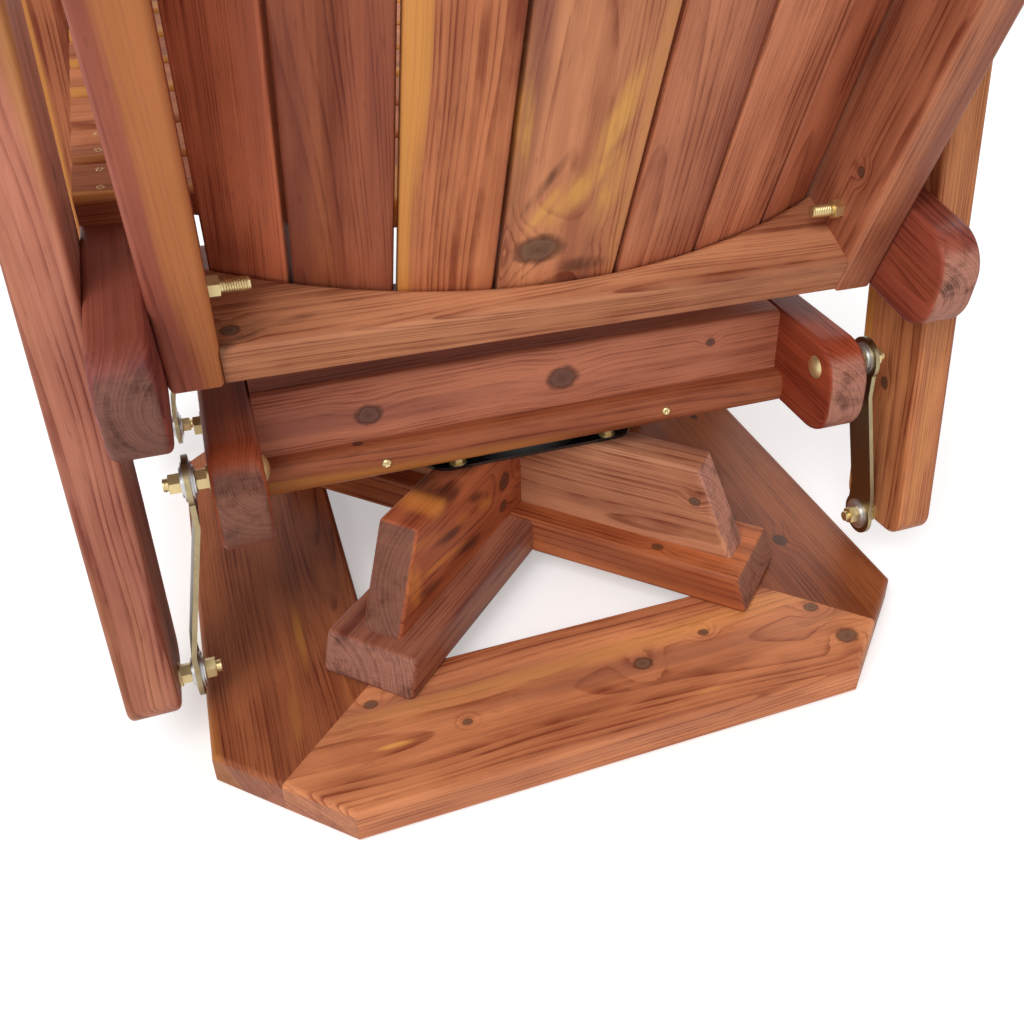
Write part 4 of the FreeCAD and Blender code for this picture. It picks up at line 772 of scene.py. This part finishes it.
def back_screw_spots(node):
    """Screws in the front of a back slat, two on each curved rail, and the way that face looks."""
    low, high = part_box(node)
    turn = math.asin((low.x + high.x) / 2 / BACK_CURVE)
    out = -(ACROSS * math.sin(turn) + POST_BACK * math.cos(turn))
    side = ACROSS * math.cos(turn) - POST_BACK * math.sin(turn)
    face = slat_face(node, out)
    spots = []
    for rail in ("lower_back_rail", "upper_back_rail"):
        rail_low, rail_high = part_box(rail)
        level = ((rail_low + rail_high) / 2).dot(POST_UP)
        for step in (-1, 1):
            spot = face + side * step * SLAT_SCREW_STEP
            spots.append(spot + POST_UP * (level - spot.dot(POST_UP)))
    return spots, out


def slat_face(node, out):
    """A spot in the middle of the face of a slat that looks a given way."""
    corners = [corner.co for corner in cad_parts[node].data.vertices]
    front = max(corner.dot(out) for corner in corners)
    middle = sum(corners, Vector()) / len(corners)
    low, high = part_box(node)
    middle.x = (low.x + high.x) / 2
    return middle + out * (front - middle.dot(out))


def armrest_screw_spots():
    """Two screws over each leg in each armrest."""
    spots = []
    for side in ("left", "right"):
        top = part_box(f"armrest_{side}")[1].z
        for end in ("front", "rear"):
            node = f"leg_{end}_{side}"
            low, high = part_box(node)
            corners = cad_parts[node].data.vertices
            head = [corner.co.y for corner in corners if corner.co.z > high.z - 1e-4]
            middle = Vector(((low.x + high.x) / 2, sum(head) / len(head), top))
            spots += [middle - BACK * ARM_SCREW_STEP, middle + BACK * ARM_SCREW_STEP]
    return spots


def flat_board_heads(sizes):
    """Heads of the screws in the outer edges of the flat boards."""
    heads = []
    for low, high in solids_of("carriage_screws"):
        middle = (low + high) / 2
        if middle.y > 0:
            middle.y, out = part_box("carriage_flat_rear")[1].y, BACK
        else:
            middle.y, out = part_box("carriage_flat_front")[0].y, -BACK
        heads.append((middle, out, sizes.pan_head, sizes.pan_proud))
    return heads


class GLIDER_OT_base_ring(Operator):
    """Finish the mitred boards of the base"""
    bl_idname = "glider.base_ring"
    bl_label = "Base ring"

    def execute(self, context):
        dress_boards(context, BASE_RING)
        return {"FINISHED"}


class GLIDER_OT_crosses(Operator):
    """Finish the half-lapped arms of the base"""
    bl_idname = "glider.crosses"
    bl_label = "Crosses"

    def execute(self, context):
        dress_boards(context, CROSSES)
        return {"FINISHED"}


class GLIDER_OT_swivel(Operator):
    """Paint the swivel's plates and finish its races, balls and pin"""
    bl_idname = "glider.swivel"
    bl_label = "Swivel"

    def execute(self, context):
        for node in PLATE_NODES:
            dress(node, black_paint(context))
        for node in BRIGHT_SWIVEL_NODES:
            dress(node, bright_zinc(context))
        return {"FINISHED"}


class GLIDER_OT_carriage(Operator):
    """Finish the rails and flat boards that turn on the swivel"""
    bl_idname = "glider.carriage"
    bl_label = "Carriage"

    def execute(self, context):
        dress_boards(context, CARRIAGE)
        return {"FINISHED"}


class GLIDER_OT_links(Operator):
    """Plate the straps of the links and their bearings"""
    bl_idname = "glider.links"
    bl_label = "Links"

    def execute(self, context):
        for node in STRAP_NODES:
            dress(node, strap_zinc(context))
        for node in BEARING_NODES:
            dress(node, bright_zinc(context))
        return {"FINISHED"}


class GLIDER_OT_fasteners(Operator):
    """Plate the bolts, nuts, spacers and screws"""
    bl_idname = "glider.fasteners"
    bl_label = "Bolts, nuts and screws"

    def execute(self, context):
        for node in YELLOW_ZINC_NODES + PIVOT_NODES:
            dress(node, yellow_zinc(context))
        return {"FINISHED"}


class GLIDER_OT_seat_frame(Operator):
    """Finish the stringers, the stretcher and the legs"""
    bl_idname = "glider.seat_frame"
    bl_label = "Seat frame"

    def execute(self, context):
        dress_boards(context, SEAT_FRAME)
        return {"FINISHED"}


class GLIDER_OT_seat_slats(Operator):
    """Finish the seat slats, each with grain of its own"""
    bl_idname = "glider.seat_slats"
    bl_label = "Seat slats"

    def execute(self, context):
        rows, step = seat_slat_rows()
        seam = (rows[-1] + rows[-2]) / 2
        look = context.scene.glider_cedar
        dress("seat_slats", cedar(look, SEAT_SLATS, seam, SEAT_SLAT_SEED, slat_pitch=step.length))
        return {"FINISHED"}


class GLIDER_OT_back_frame(Operator):
    """Finish the posts and the curved rails of the back"""
    bl_idname = "glider.back_frame"
    bl_label = "Back frame"

    def execute(self, context):
        dress_boards(context, BACK_FRAME)
        return {"FINISHED"}


class GLIDER_OT_back_slats(Operator):
    """Finish the seven slats of the back"""
    bl_idname = "glider.back_slats"
    bl_label = "Back slats"

    def execute(self, context):
        boards = []
        for number, marks in enumerate(BACK_SLATS, start=1):
            boards.append(Board(f"back_slat_{number}", POST_UP, ACROSS, *marks))
        dress_boards(context, boards)
        return {"FINISHED"}


class GLIDER_OT_armrests(Operator):
    """Finish the armrests"""
    bl_idname = "glider.armrests"
    bl_label = "Armrests"

    def execute(self, context):
        dress_boards(context, ARMRESTS)
        return {"FINISHED"}


class GLIDER_OT_slat_screws(Operator):
    """Drive the screws of the seat slats, the back slats, the armrests and the flat boards"""
    bl_idname = "glider.slat_screws"
    bl_label = "Slat screws"

    def execute(self, context):
        sizes = context.scene.glider_fasteners
        head = (sizes.screw_head, sizes.screw_proud)
        heads = [(spot, SEAT_UP, *head) for spot in seat_screw_spots()]
        set_screws(context, "seat_slat_screws", "seat", heads)
        for number in range(1, len(BACK_SLATS) + 1):
            spots, out = back_screw_spots(f"back_slat_{number}")
            set_screws(context, f"back_slat_screws_{number}", "seat", [(spot, out, *head) for spot in spots])
        set_screws(context, "armrest_screws", "seat", [(spot, UP, *head) for spot in armrest_screw_spots()])
        pan_screws = set_screws(context, "flat_board_screws", "carriage", flat_board_heads(sizes))
        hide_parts("carriage_screws")
        return {"FINISHED"}


class GLIDER_OT_bolt_threads(Operator):
    """Cut the threads that show past the nuts"""
    bl_idname = "glider.bolt_threads"
    bl_label = "Bolt threads"

    def execute(self, context):
        for name, body, node, nuts in THREADED:
            mesh = bmesh.new()
            for start, way, length in bolt_ends(node, nuts):
                thread(mesh, context.scene.glider_fasteners, facing(start, way, UP), length)
            new_piece(name, mesh, body, yellow_zinc(context))
        return {"FINISHED"}


class GLIDER_OT_stage(Operator):
    """Lay the floor and set the lights and the camera"""
    bl_idname = "glider.stage"
    bl_label = "Studio"

    def execute(self, context):
        look = context.scene.glider_studio
        lay_floor(look)
        light_room(context.scene, look)
        soft_light("main_light", look.key_power, MAIN_LIGHT)
        soft_light("side_light", look.side_power, SIDE_LIGHT)
        set_camera(context.scene, look)
        context.scene.view_settings.view_transform = "Standard"
        return {"FINISHED"}


def seen_rays(tree):
    """1 for rays that show the background itself: to the camera, mirrored or through glass."""
    rays = add(tree, "LightPath").outputs
    seen = figure(tree, "MAXIMUM", rays["Is Camera Ray"], rays["Is Glossy Ray"])
    return figure(tree, "MAXIMUM", seen, rays["Is Transmission Ray"])


def lay_floor(look):
    mesh = bmesh.new()
    bmesh.ops.create_grid(mesh, x_segments=8, y_segments=8, size=FLOOR_HALF)
    floor = bpy.data.objects.new("floor", bpy.data.meshes.new("floor"))
    mesh.to_mesh(floor.data)
    mesh.free()
    material, tree, shader = new_material("pale_floor")
    shader.inputs["Base Color"].default_value = (*look.floor_colour, 1)
    shader.inputs["Roughness"].default_value = 0.9
    shader.inputs["Specular IOR Level"].default_value = 0
    shader.inputs["Emission Color"].default_value = (1, 1, 1, 1)
    feed(tree, shader.inputs["Emission Strength"], figure(tree, "MULTIPLY", seen_rays(tree), 0.38))
    floor.data.materials.append(material)
    bpy.context.scene.collection.objects.link(floor)


def light_room(scene, look):
    scene.world = bpy.data.worlds.new("studio")
    scene.world.use_nodes = True
    tree = scene.world.node_tree
    background = tree.nodes["Background"]
    background.inputs["Color"].default_value = (1, 1, 1, 1)
    strength = figure(tree, "MULTIPLY_ADD", seen_rays(tree), 1 - look.room_light, look.room_light)
    feed(tree, background.inputs["Strength"], strength)


def soft_light(name, power, place):
    lamp = bpy.data.lights.new(name, "AREA")
    lamp.energy = power
    lamp.size = LIGHT_WIDE
    light = bpy.data.objects.new(name, lamp)
    aim = LIT_SPOT - place
    light.matrix_world = Matrix.Translation(place) @ aim.to_track_quat("-Z", "Y").to_matrix().to_4x4()
    bpy.context.scene.collection.objects.link(light)


def set_camera(scene, look):
    ahead = Vector((-math.sin(look.heading), -math.cos(look.heading), 0))
    forward = ahead * math.cos(look.dip) - UP * math.sin(look.dip)
    level = Vector((-math.cos(look.heading), math.sin(look.heading), 0))
    above = level.cross(forward)
    right = level * math.cos(look.roll) + above * math.sin(look.roll)
    top = above * math.cos(look.roll) - level * math.sin(look.roll)
    lens = bpy.data.cameras.new("photo_camera")
    lens.lens = look.lens
    lens.sensor_width = SENSOR_WIDE
    lens.shift_x, lens.shift_y = look.shift
    lens.clip_start = 0.01
    camera = bpy.data.objects.new("photo_camera", lens)
    camera.matrix_world = (Matrix.Translation(look.camera_place)
                           @ Matrix((right, top, -forward)).transposed().to_4x4())
    scene.collection.objects.link(camera)
    scene.camera = camera


class GLIDER_PT_pieces(Panel):
    bl_label = "Swivel glider"
    bl_idname = "GLIDER_PT_pieces"
    bl_space_type = "VIEW_3D"
    bl_region_type = "UI"
    bl_category = "Glider"

    def draw(self, context):
        for operator in OPERATORS:
            self.layout.operator(operator.bl_idname)


LOOKS = {"glider_cedar": CedarLook, "glider_metal": MetalLook, "glider_fasteners": FastenerSizes,
         "glider_studio": StudioLook}
OPERATORS = [GLIDER_OT_base_ring, GLIDER_OT_crosses, GLIDER_OT_swivel, GLIDER_OT_carriage, GLIDER_OT_links,
             GLIDER_OT_fasteners, GLIDER_OT_seat_frame, GLIDER_OT_seat_slats, GLIDER_OT_back_frame,
             GLIDER_OT_back_slats, GLIDER_OT_armrests, GLIDER_OT_slat_screws, GLIDER_OT_bolt_threads,
             GLIDER_OT_stage]
CLASSES = [*LOOKS.values(), *OPERATORS, GLIDER_PT_pieces]


def register():
    for item in CLASSES:
        bpy.utils.register_class(item)
    for name, look in LOOKS.items():
        setattr(bpy.types.Scene, name, PointerProperty(type=look))


def unregister():
    for name in LOOKS:
        delattr(bpy.types.Scene, name)
    for item in reversed(CLASSES):
        bpy.utils.unregister_class(item)


def main():
    register()
    for operator in OPERATORS:
        getattr(bpy.ops.glider, operator.bl_idname.split(".")[1])()


if __name__ == "__main__":
    main()
